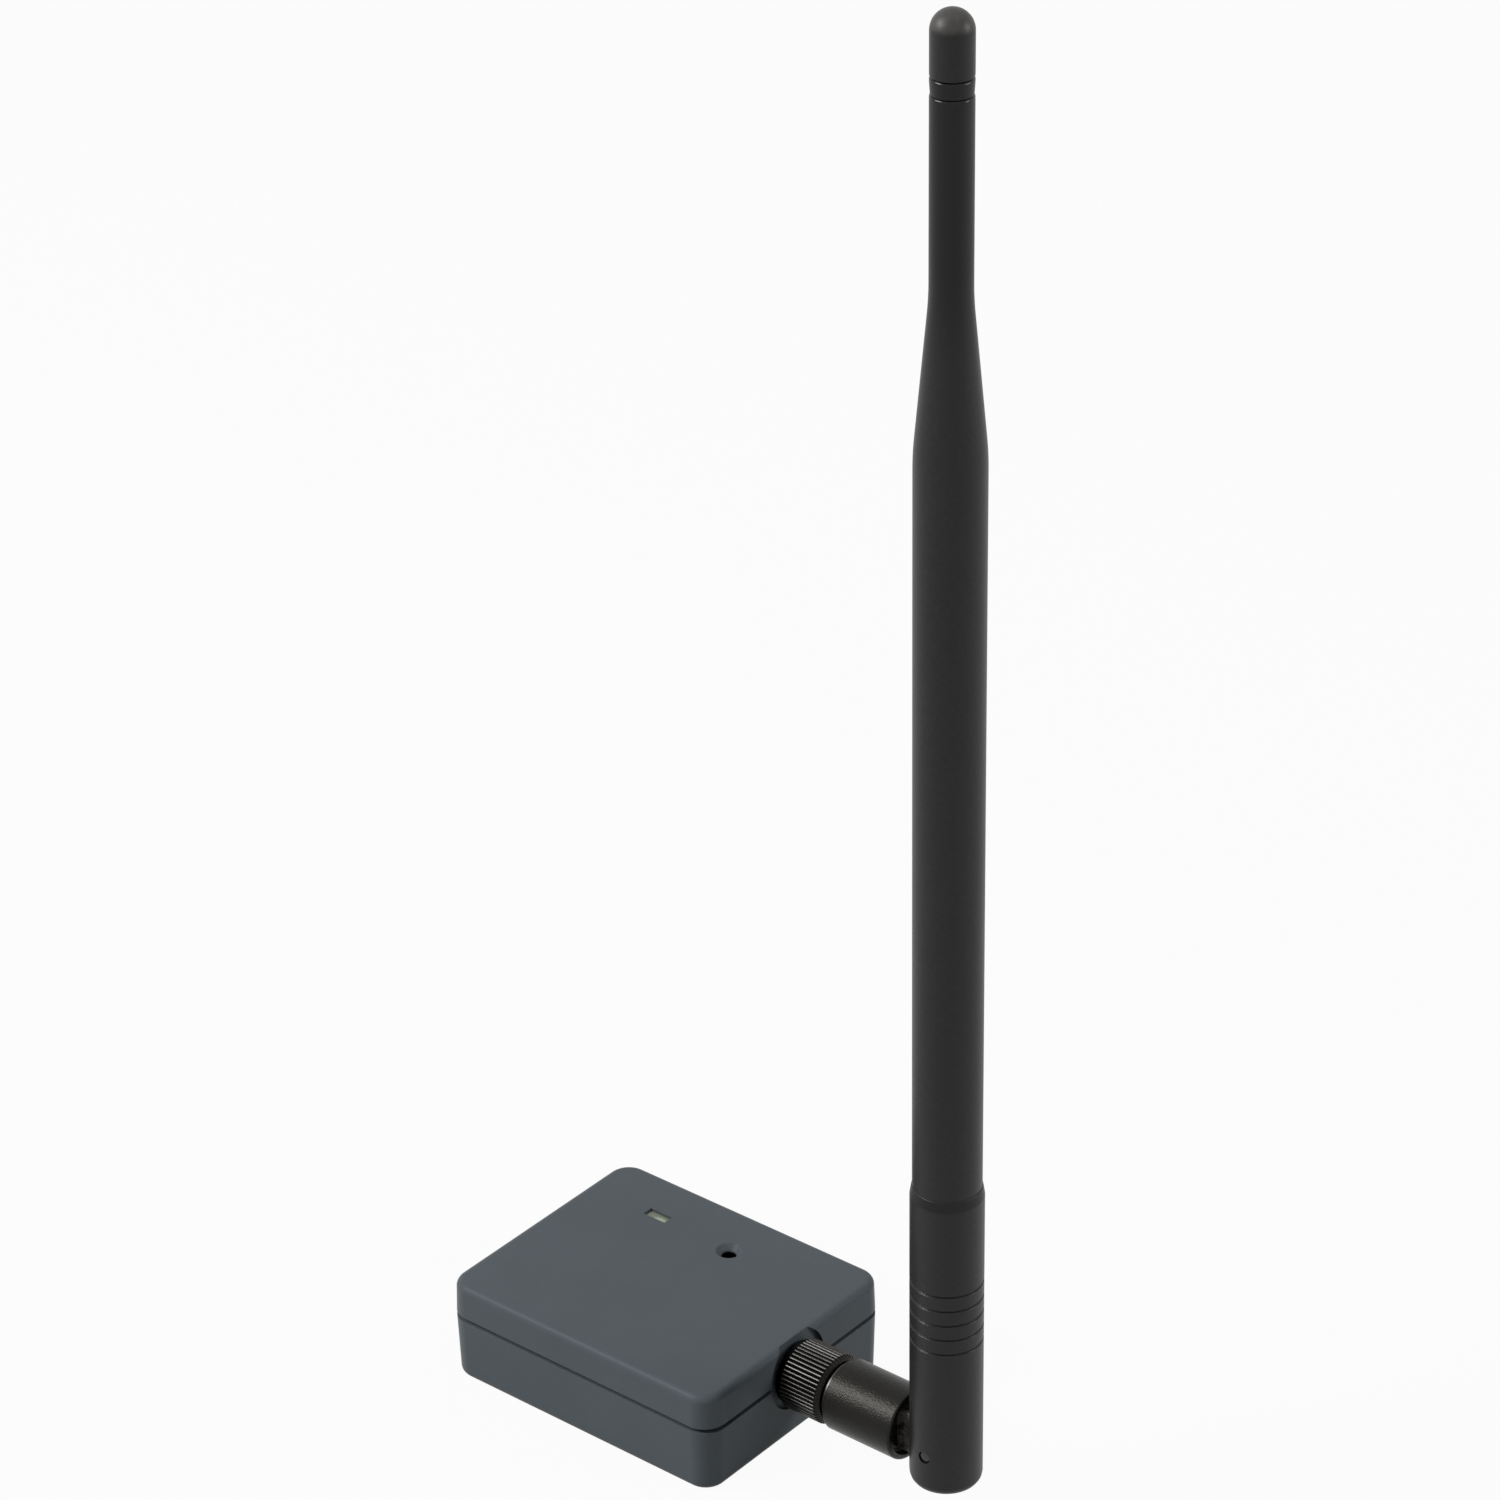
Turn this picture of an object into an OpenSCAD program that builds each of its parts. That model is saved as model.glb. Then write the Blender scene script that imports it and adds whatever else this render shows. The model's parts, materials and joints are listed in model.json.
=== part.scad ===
// Wireless receiver: a small two-part case with a screw-on, hinged whip antenna.
// Millimetres. The origin is the middle of the case's underside, +X runs out of the antenna socket.

/* [Case] */
// Length along the antenna socket, at the parting line
case_l = 62.2; // [58:0.1:68]
// Width across the antenna socket, at the parting line
case_w = 50.8; // [48:0.1:58]
// Height of the closed case
case_h = 20.4; // [19.8:0.1:24]
// Height of the parting line, which the antenna socket lies on
split_z = 13.25; // [12.6:0.05:14]
// Height of the shadow gap between the two halves
gap_h = 0.7; // [0.3:0.1:1]
// Lean of the side walls, in degrees
draft = 1.8; // [0.5:0.1:3]
// Radius of the upright corners at the parting line
corner_r = 4.5; // [4:0.1:7]
// Radius of the top and bottom edges
edge_r = 1.5; // [0.6:0.1:2]
// Thickness of the side walls
wall = 2.4; // [2.2:0.1:3]
// Thickness of the floor and of the top panel
panel_t = 2.2; // [1.8:0.1:2.8]
// Thickness of the rim that locates the cover on the base
rim_t = 1; // [0.8:0.1:1.2]
// Height of that rim above the shadow gap
rim_h = 1.6; // [1:0.1:2.4]

/* [Top openings] */
// Length of the light window
window_l = 5; // [4:0.1:8]
// Width of the light window
window_w = 2.2; // [1.8:0.1:4]
// Depth from the top panel's face to the light pipe
window_depth = 0.9; // [0.3:0.1:1.4]
// Distance of the light window's middle from the case's far end
window_from_end = 17.1; // [13:0.1:23]
// Distance of the light window's middle from the case's long side
window_from_side = 10.8; // [9:0.1:17]
// Diameter of the button's pin hole
hole_d = 2.8; // [2:0.1:3.2]
// Diameter of the pin hole's countersink at the top face
sink_d = 4.9; // [4:0.1:6]
// Depth of the countersink
sink_depth = 1.05; // [0.6:0.05:1.6]
// Distance of the pin hole's middle from the case's far end
button_from_end = 34.8; // [29:0.1:41]
// Distance of the pin hole's middle from the case's long side
button_from_side = 11.6; // [9.5:0.1:17]

/* [Case screws] */
// Distance of each screw from the inside of both walls
screw_inset = 4.2; // [3.6:0.1:5.5]
// Diameter of the posts that carry the board
post_d = 6.4; // [6.2:0.1:7]
// Diameter of the cover's screw bosses
boss_d = 5.6; // [4.6:0.1:6.4]
// Diameter of the screw's shank
screw_d = 2.3; // [2:0.1:2.6]
// Length of the screw's shank
screw_len = 12; // [9:0.5:13]
// Diameter of the screw's head
screw_head_d = 4.4; // [4:0.1:4.6]
// Height of the screw's head
screw_head_h = 1.5; // [1.2:0.1:1.8]
// Depth of the head below the underside
screw_sunk = 0.5; // [0.2:0.1:0.8]

/* [Board] */
// Thickness of the circuit board
board_t = 1.6; // [1:0.1:2]
// Room between the board's edge and the wall
board_gap = 0.8; // [0.6:0.1:2]
// Corner radius of the board
board_r = 2.4; // [1:0.1:4]
// Height of the antenna socket's axis above the board
jack_rise = 5.45; // [4.6:0.05:5.8]
// Height of the light source
led_h = 0.9; // [0.6:0.1:1.4]
// Side of the push switch's body
switch_side = 6; // [5:0.1:7]
// Height of the push switch's body
switch_h = 3.5; // [3:0.1:4.5]
// Diameter of the push switch's stem
stem_d = 3.4; // [3:0.1:3.8]
// Travel of the push switch
stem_travel = 0.25; // [0.2:0.05:0.4]
// Gap between the stem and the top panel
stem_gap = 0.8; // [0.4:0.1:1.5]
// Length of the radio module
radio_l = 18; // [14:0.5:20]
// Width of the radio module
radio_w = 13; // [10:0.5:15]
// Thickness of the radio module
radio_t = 1; // [0.6:0.1:1.4]
// Height of the shield can
can_h = 2.4; // [1.6:0.1:3]
// Wall of the shield can
can_wall = 0.3; // [0.2:0.05:0.5]
// Edge of the radio module that shows round the shield can
can_margin = 1.2; // [0.6:0.1:2]
// Side of the processor chip
chip_side = 8; // [5:0.5:10]
// Height of the processor chip
chip_h = 1; // [0.6:0.1:1.4]
// Diameter of each capacitor
capacitor_d = 5; // [4:0.1:6]
// Height of each capacitor
capacitor_h = 5.4; // [4:0.1:6]

/* [Data socket] */
// Outside width of the socket's shell
data_w = 8.94; // [8.5:0.02:10]
// Outside height of the socket's shell
data_h = 3.26; // [3.2:0.02:3.6]
// Thickness of the socket's shell
data_wall = 0.3; // [0.2:0.05:0.4]
// Depth of the socket's shell
data_l = 7.35; // [6.5:0.05:8]
// Distance of the mouth behind the outside of the wall
data_sunk = 0.8; // [0.4:0.1:1.6]
// Thickness of the socket's tongue
data_tongue_t = 0.7; // [0.5:0.05:0.9]
// Width of the socket's tongue
data_tongue_w = 6.69; // [6:0.05:7]
// Length of the socket's tongue
data_tongue_l = 4.45; // [4:0.05:5]

/* [Antenna socket and plug] */
// Diameter of the round pocket in the end wall
pocket_d = 14.8; // [14:0.1:15.4]
// Depth of the round pocket
pocket_depth = 1.2; // [0.8:0.1:1.5]
// Diameter of the threaded barrel
barrel_d = 6.35; // [6:0.05:6.6]
// Length of the threaded barrel outside the pocket's floor
barrel_l = 5.6; // [4.8:0.1:6]
// Width and height of the socket's block
jack_w = 6.6; // [6.6:0.1:8]
// Length of the socket's block
jack_l = 6.4; // [5.5:0.1:8]
// Diameter of the insulator
insulator_d = 4.1; // [3.6:0.05:4.4]
// Diameter of the socket's centre contact
contact_d = 1.3; // [1.2:0.05:1.6]
// Diameter of the plug's centre pin
pin_contact_d = 0.9; // [0.8:0.02:0.94]
// Length of the plug's centre pin that enters the contact
pin_contact_l = 3; // [2:0.1:3.4]
// Diameter of the nut over its ridges
nut_d = 13.4; // [12.6:0.1:13.8]
// Length of the nut
nut_l = 10.4; // [9.4:0.1:11.4]
// Number of ridges on the nut
ridge_n = 50; // [36:1:60]
// Depth of the grooves between the ridges
ridge_depth = 0.3; // [0.2:0.02:0.4]
// Length of the smooth shoulder at the nut's inner end
nut_shoulder_l = 1.1; // [0.4:0.1:1.6]
// Length of the bevel at the nut's outer end
nut_bevel_l = 0.9; // [0.3:0.1:1.4]
// Thickness of the nut's rear web, which the plug holds
nut_web = 1.6; // [1.2:0.1:2]
// Diameter of the plug's tube inside the nut
plug_tube_d = 5.8; // [5.4:0.05:6]
// Diameter of the collar between the nut and the knuckle
collar_d = 11.4; // [10:0.1:11.8]
// Length of the collar
collar_l = 0.5; // [0.4:0.1:1.6]
// Diameter of the spigot that the knuckle turns on
spigot_d = 9; // [8:0.1:9.6]
// Length of the spigot
spigot_l = 6.5; // [5:0.1:8]

/* [Knuckle] */
// Diameter of the knuckle
knuckle_d = 13.58; // [13:0.02:14.4]
// Length of the knuckle's round body
knuckle_l = 15.5; // [14:0.1:18]
// Bevel at the knuckle's inner end
knuckle_bevel = 0.5; // [0.3:0.1:1]
// Rounding of the knuckle's outer end
knuckle_round = 0.6; // [0.4:0.1:0.8]
// Width of the rim round the hollow in the outer end
knuckle_rim = 1.1; // [0.9:0.1:1.4]
// Depth of the hollow in the outer end
knuckle_hollow = 1.6; // [0.8:0.1:2.4]
// Thickness of the hinge tongue
tongue_t = 5; // [4:0.1:5.6]
// Height of the hinge tongue
tongue_h = 8.4; // [7:0.1:8.6]
// Diameter of the hinge pin
hinge_pin_d = 2.3; // [1.8:0.1:2.6]
// Depth of the hinge pin's ends below the sleeve
pin_sunk = 0.2; // [0.1:0.05:0.4]

/* [Antenna] */
// Diameter of the antenna's foot
sleeve_d = 13; // [12.6:0.1:14]
// Distance from the hinge to the foot's lower end
sleeve_drop = 7.75; // [7.5:0.05:8]
// Radius about the hinge that the foot is cut to, where it swings past the knuckle
swing_r = 7.3; // [7.1:0.05:7.5]
// Distance from the hinge to the foot's upper end
sleeve_rise = 54.45; // [48:0.05:62]
// Length of the rounded shoulder at the foot's upper end
shoulder_l = 2.5; // [1.5:0.1:4]
// Rounding of the foot's lower end
foot_round = 1.8; // [0.6:0.1:2.4]
// Number of grip grooves
groove_n = 5; // [1:1:7]
// Distance between grip grooves
groove_pitch = 3.02; // [2:0.02:3.6]
// Height of the lowest grip groove above the hinge
groove_first = 22.95; // [18:0.05:26]
// Depth of each grip groove
groove_depth = 0.35; // [0.2:0.05:0.5]
// Width of each grip groove
groove_w = 0.55; // [0.3:0.05:0.9]
// Diameter of the main tube
tube_d = 12.14; // [11.4:0.02:12.5]
// Wall of the tubes
tube_wall = 1.2; // [0.9:0.05:1.5]
// Length of the main tube above the foot
tube_l = 139; // [100:0.5:170]
// Length of the taper
taper_l = 27.1; // [18:0.1:36]
// Diameter of the upper tube
upper_d = 7.16; // [6.6:0.02:8]
// Length of the upper tube
upper_l = 34.2; // [24:0.1:44]
// Length of the tube's spigot inside the foot
tube_spigot_l = 10; // [6:0.5:16]
// Wall of that spigot
tube_spigot_wall = 0.7; // [0.5:0.05:0.7]
// Height of the ring under the tip
ring_h = 2.9; // [2:0.1:4]
// Flare of the ring from its lower to its upper edge
ring_flare = 0.18; // [0.05:0.01:0.25]
// Length of the tip cap that shows
cap_l = 11; // [8:0.1:16]
// Length of the tip cap's stem
cap_stem_l = 9; // [6:0.5:14]
// Diameter of the feed cable
cable_d = 1.8; // [1.4:0.05:2]
// Diameter of the dipole's lower tube
dipole_d = 5; // [4:0.1:6]
// Wall of the dipole's lower tube
dipole_wall = 0.3; // [0.2:0.05:0.5]
// Length of each dipole half
dipole_l = 31; // [26:0.5:36]
// Height of the dipole's feed point above the hinge
feed_rise = 91; // [86:0.5:100]
// Diameter of the radiator's wire
wire_d = 1.2; // [0.8:0.1:1.6]
// Diameter of the phasing coil at the middle of its wire
coil_d = 4; // [3:0.1:5]
// Length of the phasing coil
coil_l = 10; // [8:0.5:14]
// Turns of the phasing coil
coil_turns = 3; // [2:1:4]
// Thickness of each spacer round the radiator
spacer_t = 3; // [2:0.1:5]

/* [Clearances] */
// Room between a pin or shaft and the bore it turns in
run_clear = 0.05; // [0.02:0.01:0.1]
// Room between fixed pieces that push together
push_clear = 0.02; // [0.01:0.01:0.05]
// Room between the barrel's thread and the nut's
thread_clear = 0.08; // [0.04:0.01:0.1]
// Room between pieces that only pass by each other
pass_clear = 0.3; // [0.2:0.05:0.4]
// Room at each side of the hinge tongue
tongue_clear = 0.15; // [0.1:0.05:0.3]
// Room between the cover's step and the rim
rim_clear = 0.1; // [0.05:0.05:0.2]

/* [Hidden] */

$fn = 64;
// Steps in a rounded edge
arc_steps = 6;
// Extra length that carries a cut past the face it opens
cut = 1;

// Heights in the case
base_top = split_z - gap_h / 2;
cover_bottom = split_z + gap_h / 2;
rim_top = cover_bottom + rim_h;
ceiling = case_h - panel_t;
board_top = split_z - jack_rise;
board_z = board_top - board_t;

// Places in the case
corner_x = case_l / 2 - corner_r;
corner_y = case_w / 2 - corner_r;
post_x = case_l / 2 - wall - screw_inset;
post_y = case_w / 2 - wall - screw_inset;
board_l = case_l - 2 * (wall + board_gap);
board_w = case_w - 2 * (wall + board_gap);
screw_seat = screw_sunk + screw_head_h;
screw_tip = screw_seat + screw_len;
data_x = -case_l / 2 + data_sunk;
window_x = window_from_end - case_l / 2;
window_y = case_w / 2 - window_from_side;
button_x = button_from_end - case_l / 2;
button_y = case_w / 2 - button_from_side;

// Places on the board
led_l = 3;
led_w = 1.5;
radio_x = 6;
radio_y = -9;
chip_x = -9;
chip_y = -2;
capacitor_x = -19;
capacitor_ys = [-12, -5];
switch_floor = 1;

// Places along the antenna socket
axis_z = split_z;
pocket_x = case_l / 2 - pocket_depth;
jack_x = case_l / 2 - wall - 2 * pass_clear - jack_l;
jack_rear = 1.8;
insulator_x = jack_x + jack_rear + contact_d / 2 + pass_clear;
face_x = pocket_x + barrel_l;
nut_x = pocket_x + pass_clear;
nut_end = nut_x + nut_l;
collar_x = nut_end + pass_clear;
knuckle_x = collar_x + collar_l + push_clear;
spigot_end = collar_x + collar_l + spigot_l;
knuckle_end = knuckle_x + knuckle_l;
pivot_x = knuckle_end + swing_r + pass_clear;
pin_tail = 1;

// Snap ring that keeps the nut on the plug, and clip that keeps the knuckle on it
ring_wire = 0.5;
nut_ring_x = nut_end - nut_web - run_clear - ring_wire;
clip_wire = 0.8;
clip_x = collar_x + collar_l + spigot_l / 2;
clip_gap = 30;

// Heights above the hinge
tube_top = sleeve_rise + tube_l;
taper_top = tube_top + taper_l;
upper_top = taper_top + upper_l;
ring_top = upper_top + ring_h;
slot_r = tongue_h / 2 + pass_clear;
slot_w = tongue_t + 2 * tongue_clear;
web_t = 2.4;
bore_z = slot_r + web_t;
tube_bore = tube_d - 2 * tube_wall;
upper_bore = upper_d - 2 * tube_wall;
tube_spigot_d = tube_bore + 2 * tube_spigot_wall;
spigot_seat = sleeve_rise - tube_spigot_l - pass_clear;
sleeve_bore = tube_bore - 1;
coil_z = feed_rise + dipole_l;
radiator_top = upper_top - cap_stem_l - 2;

// Points along an arc
function arc(x, y, r, from, to, steps = arc_steps) =
    [for (i = [0:steps]) let (a = from + (to - from) * i / steps) [x + r * cos(a), y + r * sin(a)]];

// Radius of an upright corner at a height: the walls lean in from the parting line both ways
function corner_at(z) = corner_r - abs(z - split_z) * tan(draft);

// Middle of an edge rounding that meets a leaning wall, for an edge that lies rise from the parting line
function edge_middle(rise) = corner_r - ((rise - edge_r) * sin(draft) + edge_r) / cos(draft);

// A corner's profile and its mirror image, set apart by the straight stretch between two corners
function both_sides(profile, middle) = concat(
    [for (point = profile) [middle + point.x, point.y]],
    [for (i = [len(profile) - 1:-1:0]) [-middle - profile[i].x, profile[i].y]]
);

// A block with the case's plan: the profile gives the corner's radius at each height
module case_block(profile) {
    for (x = [-corner_x, corner_x], y = [-corner_y, corner_y])
        translate([x, y, 0])
            rotate_extrude()
                polygon(profile);
    rotate([90, 0, 0])
        linear_extrude(2 * corner_y, center = true)
            polygon(both_sides(profile, corner_x));
    rotate([90, 0, 90])
        linear_extrude(2 * corner_x, center = true)
            polygon(both_sides(profile, corner_y));
}

// A rectangle with round corners
module round_plate(l, w, r) {
    square([l - 2 * r, w], center = true);
    square([l, w - 2 * r], center = true);
    for (x = [-1, 1], y = [-1, 1])
        translate([x * (l / 2 - r), y * (w / 2 - r)])
            circle(r);
}

// A box that stands on a height, centred on a place
module standing_box(x, y, z, size) {
    translate([x - size.x / 2, y - size.y / 2, z])
        cube(size);
}

module at_posts() {
    for (x = [-post_x, post_x], y = [-post_y, post_y])
        translate([x, y, 0])
            children();
}

// Turns what stands on +Z to lie along the antenna socket's axis, from x on
module along_socket(x) {
    translate([x, 0, axis_z])
        rotate([0, 90, 0])
            children();
}

module at_hinge() {
    translate([pivot_x, 0, axis_z])
        children();
}

// Turns an outline in the hinge's plane into a plate of a thickness
module hinge_plate(t) {
    rotate([90, 0, 0])
        linear_extrude(t, center = true)
            children();
}

module hinge_bore(d) {
    rotate([90, 0, 0])
        cylinder(h = sleeve_d + 2 * cut, d = d, center = true);
}

// The pocket round the nut and the barrel's way through the wall
module socket_way() {
    along_socket(pocket_x)
        cylinder(h = pocket_depth + cut, d = pocket_d);
    along_socket(pocket_x - wall - cut)
        cylinder(h = wall + 2 * cut, d = barrel_d + 2 * pass_clear);
}

module top_cover() {
    edge_x = edge_middle(case_h - split_z);
    outside = concat(
        [[0, cover_bottom], [corner_at(cover_bottom), cover_bottom]],
        arc(edge_x, case_h - edge_r, edge_r, draft, 90),
        [[0, case_h]]
    );
    inside = [
        [0, base_top], [corner_r - wall, base_top], [corner_r - wall, split_z],
        [corner_at(ceiling) - wall, ceiling], [0, ceiling]
    ];
    step_r = corner_r - wall + rim_t + rim_clear;
    step = [[0, base_top], [step_r, base_top], [step_r, rim_top], [0, rim_top]];
    pin_hole = [
        [0, ceiling - cut], [hole_d / 2, ceiling - cut], [hole_d / 2, case_h - sink_depth],
        [sink_d / 2, case_h], [sink_d / 2, case_h + cut], [0, case_h + cut]
    ];
    color("slategray")
    difference() {
        union() {
            difference() {
                case_block(outside);
                case_block(inside);
                case_block(step);
            }
            at_posts()
                translate([0, 0, board_top])
                    cylinder(h = ceiling - board_top + panel_t / 2, d = boss_d);
        }
        at_posts()
            translate([0, 0, board_top - cut])
                cylinder(h = screw_tip - board_top + 2 * cut, d = screw_d + 2 * push_clear);
        socket_way();
        standing_box(window_x, window_y, ceiling - cut, [window_l, window_w, panel_t + 2 * cut]);
        translate([button_x, button_y, 0])
            rotate_extrude()
                polygon(pin_hole);
    }
}

module base_shell() {
    edge_x = edge_middle(split_z);
    outside = concat(
        [[0, 0]],
        arc(edge_x, edge_r, edge_r, -90, -draft),
        [[corner_at(base_top), base_top], [0, base_top]]
    );
    rim_r = corner_r - wall + rim_t;
    rim = [[0, base_top - cut], [rim_r, base_top - cut], [rim_r, rim_top], [0, rim_top]];
    inside = [
        [0, panel_t], [corner_at(panel_t) - wall, panel_t], [corner_r - wall, split_z],
        [corner_r - wall, rim_top + cut], [0, rim_top + cut]
    ];
    color("slategray")
    difference() {
        union() {
            difference() {
                union() {
                    case_block(outside);
                    case_block(rim);
                }
                case_block(inside);
            }
            at_posts()
                translate([0, 0, panel_t / 2])
                    cylinder(h = board_z - panel_t / 2, d = post_d);
        }
        at_posts() {
            translate([0, 0, -cut])
                cylinder(h = board_z + 2 * cut, d = screw_d + 2 * pass_clear);
            translate([0, 0, -cut])
                cylinder(h = screw_seat + cut, d = screw_head_d + 2 * pass_clear);
        }
        socket_way();
        data_outline(data_w + 2 * pass_clear, data_h + 2 * pass_clear, -case_l / 2 - cut, wall + 3 * cut);
    }
}

// A clear pipe that hangs in the window on its flange and reaches down to the light source
module light_pipe() {
    flange_t = 1;
    flange_edge = 1.2;
    stem_top = ceiling - flange_t;
    stem_z = board_top + led_h + pass_clear;
    head = [window_l - 2 * push_clear, window_w - 2 * push_clear, flange_t + panel_t - window_depth];
    color("lightyellow") {
        standing_box(window_x, window_y, stem_top, head);
        standing_box(window_x, window_y, stem_top, [window_l, window_w, 0] + flange_edge * [2, 2, 0]
            + [0, 0, flange_t]);
        standing_box(window_x, window_y, stem_z, [window_l - flange_edge, window_w, stem_top - stem_z]);
    }
}

module circuit_board() {
    color("darkgreen")
    difference() {
        translate([0, 0, board_z])
            linear_extrude(board_t)
                round_plate(board_l, board_w, board_r);
        at_posts()
            translate([0, 0, board_z - cut])
                cylinder(h = board_t + 2 * cut, d = screw_d + 2 * pass_clear);
    }
}

module status_led() {
    color("white")
        standing_box(window_x, window_y, board_top, [led_l, led_w, led_h]);
}

module radio_module() {
    color("green")
        standing_box(radio_x, radio_y, board_top, [radio_l, radio_w, radio_t]);
}

module shield_can() {
    can = [radio_l - 2 * can_margin, radio_w - 2 * can_margin, can_h];
    color("silver")
    difference() {
        standing_box(radio_x, radio_y, board_top + radio_t, can);
        standing_box(radio_x, radio_y, board_top + radio_t - cut, can - can_wall * [2, 2, 1] + [0, 0, cut]);
    }
}

module processor_chip() {
    color("black")
        standing_box(chip_x, chip_y, board_top, [chip_side, chip_side, chip_h]);
}

module capacitors() {
    color("gray")
        for (y = capacitor_ys)
            translate([capacitor_x, y, board_top])
                cylinder(h = capacitor_h, d = capacitor_d);
}

module switch_body() {
    color("black")
    difference() {
        standing_box(button_x, button_y, board_top, [switch_side, switch_side, switch_h]);
        translate([button_x, button_y, board_top + switch_floor])
            cylinder(h = switch_h, d = stem_d + 2 * run_clear);
    }
}

module pair_button() {
    stem_z = board_top + switch_floor + stem_travel + pass_clear / 2;
    color("black")
        translate([button_x, button_y, stem_z])
            cylinder(h = ceiling - stem_gap - stem_z, d = stem_d);
}

// The socket's round-ended outline, carried along -X to +X from a place
module data_outline(w, h, x, l) {
    translate([x, 0, board_top + data_h / 2])
        rotate([0, 90, 0])
            linear_extrude(l)
                round_plate(h, w, h / 2 - push_clear);
}

module data_shell() {
    color("silver")
    difference() {
        data_outline(data_w, data_h, data_x, data_l);
        data_outline(data_w - 2 * data_wall, data_h - 2 * data_wall, data_x - cut, data_l + 2 * cut);
    }
}

module data_tongue() {
    fill = 2 * (data_wall + push_clear);
    back_l = data_l - data_tongue_l - data_sunk;
    back_x = data_x + data_l - back_l;
    color("black") {
        data_outline(data_w - fill, data_h - fill, back_x, back_l);
        translate([back_x - data_tongue_l, -data_tongue_w / 2, board_top + (data_h - data_tongue_t) / 2])
            cube([data_tongue_l + back_l / 2, data_tongue_w, data_tongue_t]);
    }
}

module case_screws() {
    slot_w = 0.6;
    slot_depth = 0.8;
    color("silver")
        at_posts()
            difference() {
                union() {
                    translate([0, 0, screw_sunk])
                        cylinder(h = screw_head_h, d = screw_head_d);
                    translate([0, 0, screw_sunk + slot_depth])
                        cylinder(h = screw_tip - screw_sunk - slot_depth, d = screw_d);
                }
                for (turn = [0, 90])
                    rotate(turn)
                        standing_box(0, 0, screw_sunk - cut, [screw_d, slot_w, slot_depth + cut]);
            }
}

module jack_body() {
    color("goldenrod")
    difference() {
        union() {
            translate([jack_x, -jack_w / 2, board_top])
                cube([jack_l, jack_w, jack_rise + jack_w / 2]);
            along_socket(jack_x + jack_l / 2)
                cylinder(h = face_x - jack_x - jack_l / 2, d = barrel_d);
        }
        along_socket(jack_x + jack_rear)
            cylinder(h = face_x - jack_x, d = insulator_d + 2 * push_clear);
        translate([jack_x + jack_rear, 0, board_top - cut])
            cylinder(h = jack_rise + cut, d = contact_d + 4 * pass_clear);
    }
}

module jack_insulator() {
    color("white")
    along_socket(insulator_x)
        difference() {
            cylinder(h = face_x - insulator_x, d = insulator_d);
            translate([0, 0, -cut])
                cylinder(h = face_x - insulator_x + 2 * cut, d = contact_d + 2 * push_clear);
        }
}

module jack_contact() {
    contact_end = face_x - pass_clear;
    color("gold")
    difference() {
        union() {
            along_socket(jack_x + jack_rear)
                cylinder(h = contact_end - jack_x - jack_rear, d = contact_d);
            translate([jack_x + jack_rear, 0, board_top])
                cylinder(h = jack_rise, d = pin_contact_d);
        }
        along_socket(face_x - pin_contact_l - pass_clear)
            cylinder(h = pin_contact_l + cut, d = pin_contact_d + 2 * run_clear);
    }
}

module plug_body() {
    tube_r = plug_tube_d / 2;
    ring_r = tube_r - ring_wire / 2;
    collar_z = collar_x - face_x;
    ring_z = nut_ring_x - face_x;
    clip_z = clip_x - face_x;
    clip_r = spigot_d / 2 - clip_wire / 2;
    end_z = spigot_end - face_x;
    bore_r = insulator_d / 2 + push_clear;
    profile = [
        [bore_r, 0], [tube_r, 0], [tube_r, ring_z], [ring_r, ring_z], [ring_r, ring_z + ring_wire],
        [tube_r, ring_z + ring_wire], [tube_r, collar_z], [collar_d / 2, collar_z],
        [collar_d / 2, collar_z + collar_l], [spigot_d / 2, collar_z + collar_l],
        [spigot_d / 2, clip_z], [clip_r, clip_z], [clip_r, clip_z + clip_wire],
        [spigot_d / 2, clip_z + clip_wire], [spigot_d / 2, end_z], [bore_r, end_z]
    ];
    color("darkgray")
        along_socket(face_x)
            rotate_extrude()
                polygon(profile);
}

module plug_insulator() {
    color("white")
    along_socket(face_x)
        difference() {
            cylinder(h = spigot_end - face_x, d = insulator_d);
            translate([0, 0, -cut])
                cylinder(h = spigot_end - face_x + 2 * cut, d = pin_contact_d + 2 * push_clear);
        }
}

module plug_pin() {
    color("gold")
        along_socket(face_x - pin_contact_l)
            cylinder(h = spigot_end + pin_tail - face_x + pin_contact_l, d = pin_contact_d);
}

// A ring of square wire, open at one side, that springs into a groove
module spring_ring(inner_r, wire) {
    rotate(clip_gap / 2)
        rotate_extrude(angle = 360 - clip_gap)
            translate([inner_r, 0])
                square(wire - run_clear);
}

module nut_ring() {
    color("silver")
        along_socket(nut_ring_x)
            spring_ring(plug_tube_d / 2 - ring_wire / 2 + push_clear, ring_wire);
}

module swivel_clip() {
    color("silver")
        along_socket(clip_x)
            spring_ring(spigot_d / 2 - clip_wire / 2 + push_clear, clip_wire);
}

// Straight knurl: flat-topped ridges with sloping flanks
module knurl() {
    pitch = 360 / ridge_n;
    top_share = 0.34;
    foot_share = 0.7;
    r_out = nut_d / 2;
    r_in = r_out - ridge_depth;
    polygon([
        for (i = [0:ridge_n - 1], p = [
            [r_in, -foot_share], [r_out, -top_share], [r_out, top_share], [r_in, foot_share]
        ])
            let (a = pitch * (i + p[1] / 2)) [p[0] * cos(a), p[0] * sin(a)]
    ]);
}

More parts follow.
